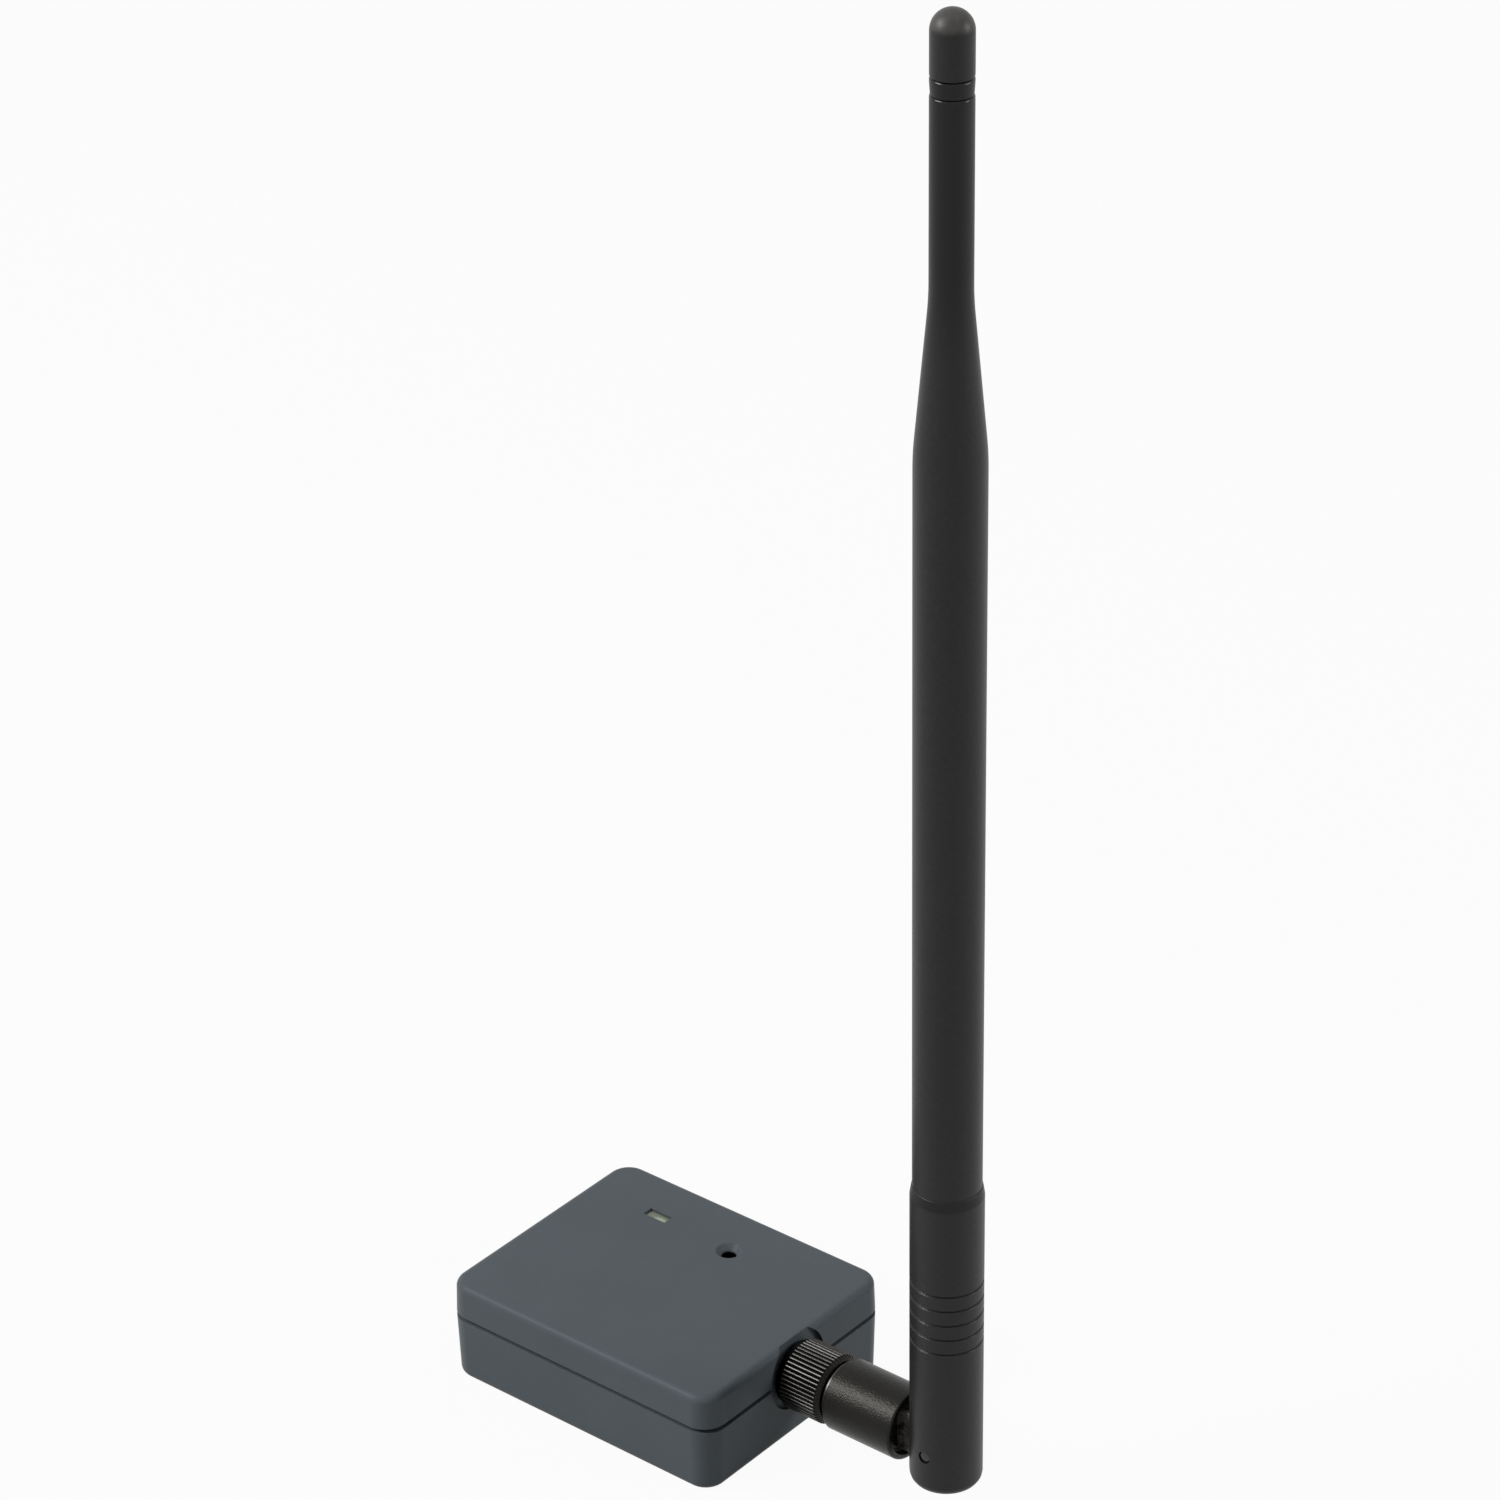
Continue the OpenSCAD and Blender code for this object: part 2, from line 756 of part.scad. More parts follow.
module coupling_nut() {
    r_low = nut_d / 2 - 2 * ridge_depth;
    r_end = nut_d / 2 - 3 * ridge_depth;
    body = concat(
        [[0, 0]],
        arc(r_low - nut_shoulder_l, nut_shoulder_l, nut_shoulder_l, -90, 0, 4),
        [
            [nut_d / 2, nut_shoulder_l + ridge_depth], [nut_d / 2, nut_l - nut_bevel_l],
            [r_end, nut_l], [0, nut_l]
        ]
    );
    web_z = nut_l - nut_web;
    ring_room = nut_web + 2 * ring_wire;
    color("dimgray")
    along_socket(nut_x)
        difference() {
            intersection() {
                linear_extrude(nut_l)
                    knurl();
                rotate_extrude()
                    polygon(body);
            }
            translate([0, 0, -cut])
                cylinder(h = web_z + cut, d = barrel_d + 2 * thread_clear);
            translate([0, 0, nut_l - ring_room])
                cylinder(h = ring_room - nut_web, d = plug_tube_d + 2 * ring_wire);
            translate([0, 0, -cut])
                cylinder(h = nut_l + 2 * cut, d = plug_tube_d + 2 * run_clear);
        }
}

module knuckle() {
    r = knuckle_d / 2;
    hollow_z = knuckle_l - knuckle_hollow;
    body = concat(
        [[0, 0], [r - knuckle_bevel, 0], [r, knuckle_bevel]],
        arc(r - knuckle_round, knuckle_l - knuckle_round, knuckle_round, 0, 90),
        [[r - knuckle_rim, knuckle_l], [r - knuckle_rim, hollow_z], [0, hollow_z]]
    );
    tongue_r = tongue_h / 2;
    root = pivot_x - knuckle_x - hollow_z + cut;
    bore_l = spigot_l + push_clear + pass_clear;
    groove = clip_wire + 2 * run_clear;
    cable_end = pivot_x - hinge_pin_d / 2 - web_t / 2;
    color("dimgray")
    difference() {
        union() {
            along_socket(knuckle_x)
                rotate_extrude()
                    polygon(body);
            at_hinge()
                hinge_plate(tongue_t) {
                    circle(tongue_r);
                    translate([-root, -tongue_r])
                        square([root, tongue_h]);
                }
        }
        along_socket(knuckle_x - cut)
            cylinder(h = bore_l + cut - push_clear, d = spigot_d + 2 * run_clear);
        along_socket(clip_x - run_clear)
            cylinder(h = groove, d = spigot_d + 2 * clip_wire);
        along_socket(knuckle_x)
            cylinder(h = cable_end - knuckle_x, d = cable_d + 2 * pass_clear);
        at_hinge()
            hinge_bore(hinge_pin_d + 2 * run_clear);
    }
}

module feed_cable_lower() {
    cable_x = spigot_end + pin_tail + push_clear;
    color("saddlebrown")
        along_socket(cable_x)
            cylinder(h = pivot_x - hinge_pin_d / 2 - web_t / 2 - pass_clear - cable_x, d = cable_d);
}

// The space in the antenna's foot that the tongue swings through, open to the knuckle and downwards
module tongue_slot() {
    far = sleeve_d;
    circle(slot_r);
    translate([-far, -far])
        square([far, far + slot_r]);
    translate([-far, -far])
        square([far + slot_r, far]);
}

// The corner that has to be cut off for the foot to swing past the knuckle
module swing_corner() {
    far = sleeve_d;
    slope_x = 2 * (sleeve_drop - swing_r);
    difference() {
        polygon([
            [-far, -far], [-far, 0], [0, 0], [0, -swing_r], [slope_x, -sleeve_drop], [slope_x, -far]
        ]);
        circle(swing_r);
    }
}

module base_sleeve() {
    r = sleeve_d / 2;
    shoulder_z = sleeve_rise - shoulder_l;
    shoulder_d = r - tube_d / 2;
    grooves = [
        for (i = [0:groove_n - 1], p = [[0, -0.5], [1, 0], [0, 0.5]])
            [r - groove_depth * p[0], groove_first + groove_pitch * i + groove_w * p[1]]
    ];
    profile = concat(
        [[0, -sleeve_drop]],
        arc(r - foot_round, foot_round - sleeve_drop, foot_round, -90, 0),
        grooves,
        [for (i = [0:arc_steps]) let (a = 90 * i / arc_steps)
            [tube_d / 2 + shoulder_d * cos(a), shoulder_z + shoulder_l * sin(a)]],
        [[0, sleeve_rise]]
    );
    color("dimgray")
    at_hinge()
        difference() {
            rotate_extrude()
                polygon(profile);
            hinge_plate(slot_w)
                tongue_slot();
            hinge_plate(sleeve_d + cut)
                swing_corner();
            hinge_bore(hinge_pin_d + 2 * push_clear);
            cylinder(h = bore_z + cut, d = cable_d + 2 * pass_clear);
            translate([0, 0, bore_z])
                cylinder(h = sleeve_rise - bore_z + cut, d = sleeve_bore);
            translate([0, 0, spigot_seat])
                cylinder(h = sleeve_rise - spigot_seat + cut, d = tube_spigot_d + 2 * push_clear);
        }
}

module hinge_pin() {
    bevel = 0.2;
    half = sleeve_d / 2 - pin_sunk;
    r = hinge_pin_d / 2;
    color("gray")
    at_hinge()
        rotate([90, 0, 0])
            rotate_extrude()
                polygon([
                    [0, -half], [r - bevel, -half], [r, bevel - half],
                    [r, half - bevel], [r - bevel, half], [0, half]
                ]);
}

module radome() {
    r = tube_d / 2;
    color("dimgray")
    at_hinge()
        rotate_extrude()
            polygon([
                [tube_bore / 2, spigot_seat + pass_clear], [tube_spigot_d / 2, spigot_seat + pass_clear],
                [tube_spigot_d / 2, sleeve_rise], [r, sleeve_rise], [r, tube_top],
                [upper_d / 2, taper_top], [upper_d / 2, upper_top], [upper_bore / 2, upper_top],
                [upper_bore / 2, taper_top], [tube_bore / 2, tube_top]
            ]);
}

module tip_ring() {
    bevel = 0.2;
    r_top = upper_d / 2 + ring_flare / 4;
    r_low = r_top - ring_flare;
    color("dimgray")
    at_hinge()
        translate([0, 0, upper_top])
            rotate_extrude()
                polygon([
                    [upper_bore / 2, 0], [r_low - bevel, 0], [r_low, bevel],
                    [r_top, ring_h - bevel], [r_top - bevel, ring_h], [upper_bore / 2, ring_h]
                ]);
}

module tip_cap() {
    bevel = 0.25;
    r = upper_d / 2;
    stem_r = upper_bore / 2 - push_clear;
    profile = concat(
        [[0, upper_top - cap_stem_l], [stem_r, upper_top - cap_stem_l], [stem_r, ring_top]],
        [[r - bevel, ring_top], [r, ring_top + bevel]],
        arc(0, ring_top + cap_l - r, r, 0, 90, 2 * arc_steps)
    );
    color("dimgray")
        at_hinge()
            rotate_extrude()
                polygon(profile);
}

module feed_cable_upper() {
    color("saddlebrown")
        at_hinge()
            translate([0, 0, slot_r + pass_clear])
                cylinder(h = feed_rise - slot_r - pass_clear, d = cable_d);
}

// Lower half of the dipole: a tube closed at the feed point, round the feed cable
module dipole_sleeve() {
    color("peru")
    at_hinge()
        difference() {
            translate([0, 0, feed_rise - dipole_l])
                cylinder(h = dipole_l - push_clear, d = dipole_d);
            translate([0, 0, feed_rise - dipole_l - cut])
                cylinder(h = dipole_l - dipole_wall + cut, d = dipole_d - 2 * dipole_wall);
            translate([0, 0, feed_rise - dipole_l])
                cylinder(h = dipole_l + cut, d = cable_d + 2 * push_clear);
        }
}

// Upper half of the dipole, its phasing coil and the wire above it
module radiator() {
    coil_fn = 10;
    coil_steps = 14;
    color("peru")
    at_hinge() {
        translate([0, 0, feed_rise])
            cylinder(h = coil_z + wire_d / 2 - feed_rise, d = wire_d);
        translate([0, 0, coil_z + coil_l - wire_d / 2])
            cylinder(h = radiator_top - coil_z - coil_l + wire_d / 2, d = wire_d);
        for (z = [coil_z, coil_z + coil_l])
            translate([0, -wire_d / 2, z - wire_d / 2])
                cube([coil_d / 2, wire_d, wire_d]);
        translate([0, 0, coil_z])
            linear_extrude(coil_l, twist = -360 * coil_turns, slices = coil_steps * coil_turns, $fn = coil_fn)
                translate([coil_d / 2, 0])
                    circle(d = wire_d, $fn = coil_fn);
    }
}

module element_spacers() {
    color("ivory")
    at_hinge()
        for (z = [feed_rise + dipole_l / 2, (coil_z + coil_l + tube_top) / 2])
            translate([0, 0, z - spacer_t / 2])
                difference() {
                    cylinder(h = spacer_t, d = tube_bore - 2 * push_clear);
                    translate([0, 0, -cut])
                        cylinder(h = spacer_t + 2 * cut, d = wire_d + 2 * push_clear);
                }
}

top_cover();
base_shell();
light_pipe();
circuit_board();
status_led();
radio_module();
shield_can();
processor_chip();
capacitors();
switch_body();
pair_button();
data_shell();
data_tongue();
case_screws();
jack_body();
jack_insulator();
jack_contact();
plug_body();
plug_insulator();
plug_pin();
nut_ring();
swivel_clip();
coupling_nut();
knuckle();
feed_cable_lower();
base_sleeve();
hinge_pin();
radome();
tip_ring();
tip_cap();
feed_cable_upper();
dipole_sleeve();
radiator();
element_spacers();
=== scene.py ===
import json
import math

import bmesh
import bpy
from mathutils import Matrix, Vector


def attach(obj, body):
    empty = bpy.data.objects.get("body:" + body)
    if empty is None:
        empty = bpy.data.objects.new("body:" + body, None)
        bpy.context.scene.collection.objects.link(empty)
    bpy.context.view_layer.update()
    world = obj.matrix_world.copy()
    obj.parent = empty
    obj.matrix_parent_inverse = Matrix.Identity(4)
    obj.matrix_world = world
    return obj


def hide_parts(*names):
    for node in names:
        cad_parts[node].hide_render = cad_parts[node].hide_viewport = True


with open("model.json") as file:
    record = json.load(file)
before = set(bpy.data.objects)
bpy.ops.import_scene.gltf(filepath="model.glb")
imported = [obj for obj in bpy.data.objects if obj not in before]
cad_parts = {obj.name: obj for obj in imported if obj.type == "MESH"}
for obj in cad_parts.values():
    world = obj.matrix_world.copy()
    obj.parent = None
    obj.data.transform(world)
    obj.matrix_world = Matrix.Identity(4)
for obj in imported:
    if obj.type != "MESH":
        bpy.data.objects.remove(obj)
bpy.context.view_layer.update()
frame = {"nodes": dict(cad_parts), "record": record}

# Sizes are in millimetres, as in the part's source, and become metres where a mesh is made.
MM = 0.001

# Case
CASE_L, CASE_W, CASE_H = 62.2, 50.8, 20.4
SPLIT_Z = 13.25
GAP_H = 0.86
DRAFT = math.radians(1.8)
CORNER_R = 4.5
EDGE_R = 1.5
WALL = 2.4
PANEL_T = 2.2
RIM_T, RIM_H = 1.0, 1.6
RIM_CLEAR = 0.1
BASE_TOP = SPLIT_Z - GAP_H / 2
COVER_BOTTOM = SPLIT_Z + GAP_H / 2
RIM_TOP = COVER_BOTTOM + RIM_H
CEILING = CASE_H - PANEL_T
CORNER_X = CASE_L / 2 - CORNER_R
CORNER_Y = CASE_W / 2 - CORNER_R
LIP_R = 0.07
FLAT_R = 0.6
BOARD_TOP = 7.8
BOARD_Z = 6.2

# Posts and the screws in them
POST_X, POST_Y = 24.5, 18.8
POSTS = [(x, y) for x in (-POST_X, POST_X) for y in (-POST_Y, POST_Y)]
POST_R, BOSS_R = 3.2, 2.8
PILOT_R, PILOT_TOP = 1.17, 15
HEAD_WAY_R, SHANK_WAY_R, SCREW_SEAT = 2.5, 1.45, 2.0

# Openings in the case
WINDOW_X, WINDOW_Y = -14.0, 14.6
WINDOW_L, WINDOW_W, WINDOW_DEPTH = 5.0, 2.2, 0.55
BUTTON_X, BUTTON_Y = 3.7, 13.8
HOLE_R, SINK_R, SINK_DEPTH = 1.4, 2.45, 1.05
POCKET_R, POCKET_DEPTH = 7.4, 1.2
ARCH_RISE = 0.9
POCKET_X = CASE_L / 2 - POCKET_DEPTH

# Data socket
DATA_W, DATA_H, DATA_L, DATA_WALL = 8.94, 3.26, 7.35, 0.3
DATA_X = -30.3
DATA_Z = BOARD_TOP + DATA_H / 2
DATA_BACK = -25.05
MOUTH_GROWTH, MOUTH_DEPTH = 0.6, 4.4
BLADE_TIP, BLADE_W, BLADE_T = -29.5, 6.69, 0.7
CONTACTS, CONTACT_PITCH, CONTACT_W, CONTACT_RISE = 12, 0.5, 0.25, 0.03
LONG_CONTACTS = (0, 3, 8, 11)

# Antenna socket, plug and nut
AXIS_Z = SPLIT_Z
BARREL_R = 3.175
THREAD_PITCH = 25.4 / 36
FACE_X = 35.5
JACK_X, JACK_L, JACK_W = 21.7, 6.4, 6.6
JACK_BACK_T, LEAD_R = 1.8, 1.25
SOCKET_BORE_R = 2.07
NUT_X, NUT_L, NUT_R = 30.2, 10.4, 6.7
RIDGES, RIDGE_DEPTH = 50, 0.3
NUT_SHOULDER, NUT_BEVEL = 1.6, 0.9
COLLAR_X, COLLAR_L, COLLAR_R = 40.9, 0.9, 5.8
SPIGOT_R, SPIGOT_END = 4.5, 47.9
SPIGOT_HOLE_L = 6.8
PLUG_TUBE_R = 2.9
NUT_RING_X, NUT_RING_W, NUT_RING_DEPTH = 38.45, 0.5, 0.25
CLIP_X, CLIP_W, CLIP_DEPTH = 44.65, 0.8, 0.4

# Knuckle and antenna
KNUCKLE_X, KNUCKLE_L, KNUCKLE_R = 41.42, 15.5, 6.79
PIVOT_X = 64.52
TONGUE_T, TONGUE_R = 5.0, 4.2
TONGUE_ROOT = 2.6
HOLLOW, HOLLOW_RIM = 1.6, 1.1
PIN_R, PIN_WAY_REACH = 1.15, 8
FEED_R, FEED_START = 1.2, 8
SLEEVE_R, SLEEVE_DROP, SLEEVE_RISE = 6.5, 7.75, 54.45
SWING_R = 7.3
FOOT_R = 1.8
FOOT_FLOOR = 6.9
SLOT_W, SLOT_R = 5.3, 4.5
GROOVES, GROOVE_FIRST, GROOVE_PITCH = 5, 22.95, 3.02
GROOVE_W, GROOVE_DEPTH = 0.62, 0.35
TUBE_R, UPPER_R, TUBE_WALL = 6.07, 3.58, 1.2
TUBE_TOP = SLEEVE_RISE + 139.0
TAPER_TOP = TUBE_TOP + 27.1
TAPER_BEND_R = 60
TUBE_SPIGOT_L, TUBE_SPIGOT_T = 10, 0.7
UPPER_TOP = TAPER_TOP + 34.2
RING_H = 2.9
CAP_L = 11.0


class Wire:
    """One output among a finish's nodes. Sums written with it add Math nodes."""

    def __init__(self, board, socket):
        self.board = board
        self.socket = socket

    def maths(self, operation, first, second):
        return self.board.node("ShaderNodeMath", {"operation": operation}, {0: first, 1: second})

    def outlet(self, name):
        """Another output of the same node."""
        return Wire(self.board, self.socket.node.outputs[name])

    def __add__(self, other):
        return self.maths("ADD", self, other)

    def __radd__(self, other):
        return self.maths("ADD", other, self)

    def __sub__(self, other):
        return self.maths("SUBTRACT", self, other)

    def __rsub__(self, other):
        return self.maths("SUBTRACT", other, self)

    def __mul__(self, other):
        return self.maths("MULTIPLY", self, other)

    def __rmul__(self, other):
        return self.maths("MULTIPLY", other, self)

    def __truediv__(self, other):
        return self.maths("DIVIDE", self, other)

    def __pow__(self, other):
        return self.maths("POWER", self, other)

    def __or__(self, other):
        return self.maths("MAXIMUM", self, other)

    def __and__(self, other):
        return self.maths("MINIMUM", self, other)


class Board:
    """A tree of shader nodes."""

    def __init__(self, tree):
        self.tree = tree

    def feed(self, socket, value):
        if isinstance(value, Wire):
            self.tree.links.new(value.socket, socket)
        else:
            socket.default_value = value

    def node(self, kind, settings=None, sockets=None, out=0):
        made = self.tree.nodes.new(kind)
        for name, value in (settings or {}).items():
            setattr(made, name, value)
        for name, value in (sockets or {}).items():
            self.feed(made.inputs[name], value)
        return Wire(self, made.outputs[out])


class Finish(Board):
    """A material of the part, with the patterns that its surfaces share."""

    def __init__(self, name, **constants):
        self.material = bpy.data.materials.new(name)
        self.material.use_nodes = True
        super().__init__(self.material.node_tree)
        self.shader = self.tree.nodes["Principled BSDF"]
        for socket, value in constants.items():
            self.shader.inputs[socket.replace("_", " ")].default_value = value
        self.place = self.node("ShaderNodeTexCoord", out="Object")

    def axes(self):
        split = self.node("ShaderNodeSeparateXYZ", None, {0: self.place})
        return split, split.outlet("Y"), split.outlet("Z")

    def noise(self, size, detail=2.0, stretch=None):
        """Noise from 0 to 1 with features of about this size, in millimetres."""
        place = self.place
        if stretch:
            place = self.node(
                "ShaderNodeVectorMath", {"operation": "MULTIPLY"}, {0: self.place, 1: stretch}
            )
        return self.node(
            "ShaderNodeTexNoise", None,
            {"Vector": place, "Scale": 1 / (size * MM), "Detail": detail, "Roughness": 0.55},
        )

    def grade(self, value, low, high):
        """0 below low, 1 above high and smooth between them."""
        return self.node(
            "ShaderNodeMapRange", {"interpolation_type": "SMOOTHSTEP"},
            {"Value": value, "From Min": low, "From Max": high},
        )

    def blend(self, share, first, second):
        """A colour between two."""
        return self.node(
            "ShaderNodeMix", {"data_type": "RGBA"}, {0: share, 6: first, 7: second}, out=2
        )

    def bump(self, height, strength, depth):
        return self.node(
            "ShaderNodeBump", None, {"Height": height, "Strength": strength, "Distance": depth * MM}
        )

    def surface(self, **sockets):
        for socket, value in sockets.items():
            self.feed(self.shader.inputs[socket.replace("_", " ")], value)
        return self


def shade(grey, tint=(1.0, 1.0, 1.0)):
    return (grey * tint[0], grey * tint[1], grey * tint[2], 1.0)


def moulded(name, colour, roughness, grain, depth, level=0.5, spread=0.12):
    """A moulded plastic: faint clouds in the colour, and the fine grain that the mould leaves."""
    finish = Finish(name, Specular_IOR_Level=level)
    clouds = finish.noise(18, 3.0)
    pits = finish.noise(grain, 2.0)
    dark = tuple(c * (1 - spread) for c in colour) + (1.0,)
    light = tuple(c * (1 + spread) for c in colour) + (1.0,)
    return finish.surface(
        Base_Color=finish.blend(clouds * 0.6 + pits * 0.4, dark, light),
        Roughness=roughness - 0.08 + pits * 0.1 + clouds * 0.06,
        Normal=finish.bump(pits, 0.35, depth),
    )


def antenna_plastic():
    """Mottled matt black plastic with burnished lips, painted shade darkening the neck and the shoulder
    band, and a painted highlight making the crown paler.
    """
    finish = Finish("antenna_plastic", Specular_IOR_Level=0.27)
    z = finish.axes()[2]
    clouds = finish.noise(18, 3.0)
    mottle = finish.noise(0.8, 3.0)
    pits = finish.noise(0.3, 2.0)

    def above(height, reach):
        low = (AXIS_Z + height) * MM
        return finish.grade(z, low, low + reach * MM)

    ring_top = UPPER_TOP + RING_H
    lips = [(UPPER_TOP - 0.2, 0.3), (ring_top - 0.2, 0.3)]
    lips += [(GROOVE_FIRST + GROOVE_PITCH * i - GROOVE_W / 2, 0.16) for i in range(GROOVES)]
    burnished = 0.0
    for height, reach in lips:
        away = z - (AXIS_Z + height) * MM
        band = 1 - finish.grade(away * away, (0.7 * reach * MM) ** 2, (1.3 * reach * MM) ** 2)
        burnished = band | burnished
    # Painted shade: these masks, over the upper tube and neck and over the shoulder band, darken the colour
    # there towards black.
    neck_shade = above(TAPER_TOP - 14, 20) * (1 - above(ring_top - 0.1, 0.3))
    shoulder = above(SLEEVE_RISE - 2.4, 0.7) * (1 - above(SLEEVE_RISE - 0.1, 0.1))
    # Painted highlight: this mask makes the cap's dome paler, standing in for overhead light reflected over
    # it.
    painted_crown_highlight = above(ring_top + CAP_L - UPPER_R, 1.4)
    plain = finish.blend(clouds * 0.3 + mottle * 0.7, shade(0.002), shade(0.018))
    # deep carries the painted shade on the neck and the shoulder band.
    deep = finish.blend((neck_shade | shoulder) * 0.9, plain, shade(0.0005))
    return finish.surface(
        Base_Color=finish.blend(painted_crown_highlight * (0.4 + 0.8 * mottle), deep, shade(0.065, (1.0, 0.96, 0.9))),
        Roughness=0.36 + 0.06 * clouds + 0.06 * pits - 0.2 * burnished,
        Normal=finish.bump(pits * 0.5 + mottle * 0.5, 0.65, 0.05),
    )


def plated(name, colour, roughness):
    """Plated metal: faint turning marks and a few duller scuffs."""
    finish = Finish(name, Metallic=1.0)
    marks = finish.noise(0.12, 2.0)
    scuffs = finish.grade(finish.noise(6.0, 4.0), 0.5, 0.75)
    dull = tuple(c * 0.7 for c in colour) + (1.0,)
    return finish.surface(
        Base_Color=finish.blend(scuffs, tuple(colour) + (1.0,), dull),
        Roughness=roughness + marks * 0.06 + scuffs * 0.25,
        Normal=finish.bump(marks, 0.1, 0.01),
    )


def knurled_plating():
    """Black plating that is worn brighter along the tops of the nut's ridges."""
    finish = Finish("knurled_plating", Metallic=1.0)
    x, y, z = finish.axes()
    drop = z - AXIS_Z * MM
    radius = (y * y + drop * drop) ** 0.5
    crest = finish.grade(radius, (NUT_R - 0.15) * MM, (NUT_R - 0.05) * MM)
    marks = finish.noise(0.3, 2.0, (0.15, 1.0, 1.0))
    bevel_x = NUT_X + NUT_L - NUT_BEVEL
    smooth = finish.grade(x, bevel_x * MM, (bevel_x + 0.2) * MM)
    worn = (crest | smooth * 0.25) * (0.7 + 0.3 * marks)
    black, bare = shade(0.002, (1.0, 0.97, 0.93)), shade(0.075, (1.0, 0.95, 0.9))
    return finish.surface(
        Base_Color=finish.blend(worn, black, bare),
        Roughness=0.42 - 0.12 * crest + 0.08 * marks,
        Normal=finish.bump(marks, 0.12, 0.02),
    )


def hinge_paint():
    """Satin black paint with a coarse grain, and painted light: a paler grey in patches on the sides of the
    hinge's tongue, in the knuckle's hollow.
    """
    finish = Finish("hinge_paint", Specular_IOR_Level=0.2, Specular_Tint=(1.0, 0.97, 0.9, 1.0))
    x, y, z = finish.axes()
    drop = z - AXIS_Z * MM
    hollow_x = KNUCKLE_X + KNUCKLE_L - HOLLOW
    inside = finish.grade(x, (hollow_x + 0.1) * MM, (hollow_x + 0.3) * MM)
    side, edge = (TONGUE_T / 2 * MM) ** 2, (TONGUE_R * MM) ** 2
    beside = 1 - finish.grade(y * y, side * 1.02, side * 1.3)
    level = 1 - finish.grade(drop * drop, edge, edge * 1.2)
    grain = finish.noise(0.36, 3.0)
    scuffs = finish.noise(1.6, 3.0)
    # Painted light: this mask lightens the tongue's sides in the hollow, in patches, towards the grey below,
    # standing in for light falling there.
    tongue_painted_light = inside * beside * level * finish.grade(scuffs, 0.3, 0.6)
    black, bare = shade(0.005, (1.0, 0.97, 0.92)), shade(0.12, (1.0, 0.96, 0.9))
    return finish.surface(
        Base_Color=finish.blend(tongue_painted_light, black, bare),
        Roughness=0.25 + 0.12 * grain,
        Normal=finish.bump(grain, 0.55, 0.14),
    )


def window_plastic():
    """Milky plastic with a paler patch where the light source lies under it."""
    finish = Finish("window_plastic", Subsurface_Weight=0.2, Specular_IOR_Level=0.4)
    x, y = finish.axes()[:2]
    across = (x - (WINDOW_X + 0.9) * MM) / (1.5 * MM)
    along = (y - (WINDOW_Y - 0.45) * MM) / (0.75 * MM)
    patch = 1 - finish.grade(across * across + along * along, 0.15, 1.5)
    clouds = finish.noise(1.1, 3.0)
    milk, pale = (0.15, 0.15, 0.11, 1.0), (0.42, 0.42, 0.3, 1.0)
    return finish.surface(
        Base_Color=finish.blend(patch * 0.75 + clouds * 0.25, milk, pale),
        Roughness=0.45 + 0.15 * clouds,
        Normal=finish.bump(clouds, 0.2, 0.05),
    )


def board_laminate():
    """Green solder mask over copper tracks."""
    finish = Finish("board_laminate")
    cells = finish.node(
        "ShaderNodeTexVoronoi", {"distance": "CHEBYCHEV", "feature": "F1"},
        {"Vector": finish.place, "Scale": 1 / (2.4 * MM)},
    )
    tracks = finish.grade(cells, 0.36, 0.4)
    clouds = finish.noise(9, 3.0)
    mask, track = (0.006, 0.06, 0.026, 1.0), (0.02, 0.15, 0.06, 1.0)
    return finish.surface(
        Base_Color=finish.blend(tracks * 0.6 + clouds * 0.3, mask, track),
        Roughness=0.34 + 0.12 * clouds,
        Normal=finish.bump(tracks, 0.2, 0.03),
    )


SLATE = (0.0845, 0.098, 0.1085)
FINISHES = {
    "case_plastic": moulded("case_plastic", SLATE, 0.38, 0.45, 0.04, level=0.06, spread=0.15),
    "antenna_plastic": antenna_plastic(),
    "knuckle_plastic": hinge_paint(),
    "nut_plating": knurled_plating(),
    "plug_plating": plated("plug_plating", (0.06, 0.057, 0.053), 0.28),
    "light_pipe_plastic": window_plastic(),
    "board_laminate": board_laminate(),
    "black_plastic": moulded("black_plastic", (0.01, 0.01, 0.01), 0.5, 0.2, 0.02, level=0.35),
    "led_plastic": moulded("led_plastic", (0.6, 0.6, 0.5), 0.35, 0.4, 0.01),
    "bright_steel": plated("bright_steel", (0.56, 0.56, 0.55), 0.26),
    "capacitor_can": plated("capacitor_can", (0.62, 0.62, 0.63), 0.32),
    "gold_plating": plated("gold_plating", (0.75, 0.5, 0.17), 0.22),
    "white_insulator": moulded("white_insulator", (0.78, 0.78, 0.76), 0.4, 0.3, 0.01),
    "copper": plated("copper", (0.66, 0.3, 0.16), 0.3),
    "cable_jacket": moulded("cable_jacket", (0.16, 0.055, 0.022), 0.4, 0.3, 0.01),
    "spacer_foam": moulded("spacer_foam", (0.7, 0.68, 0.6), 0.8, 0.6, 0.1),
}


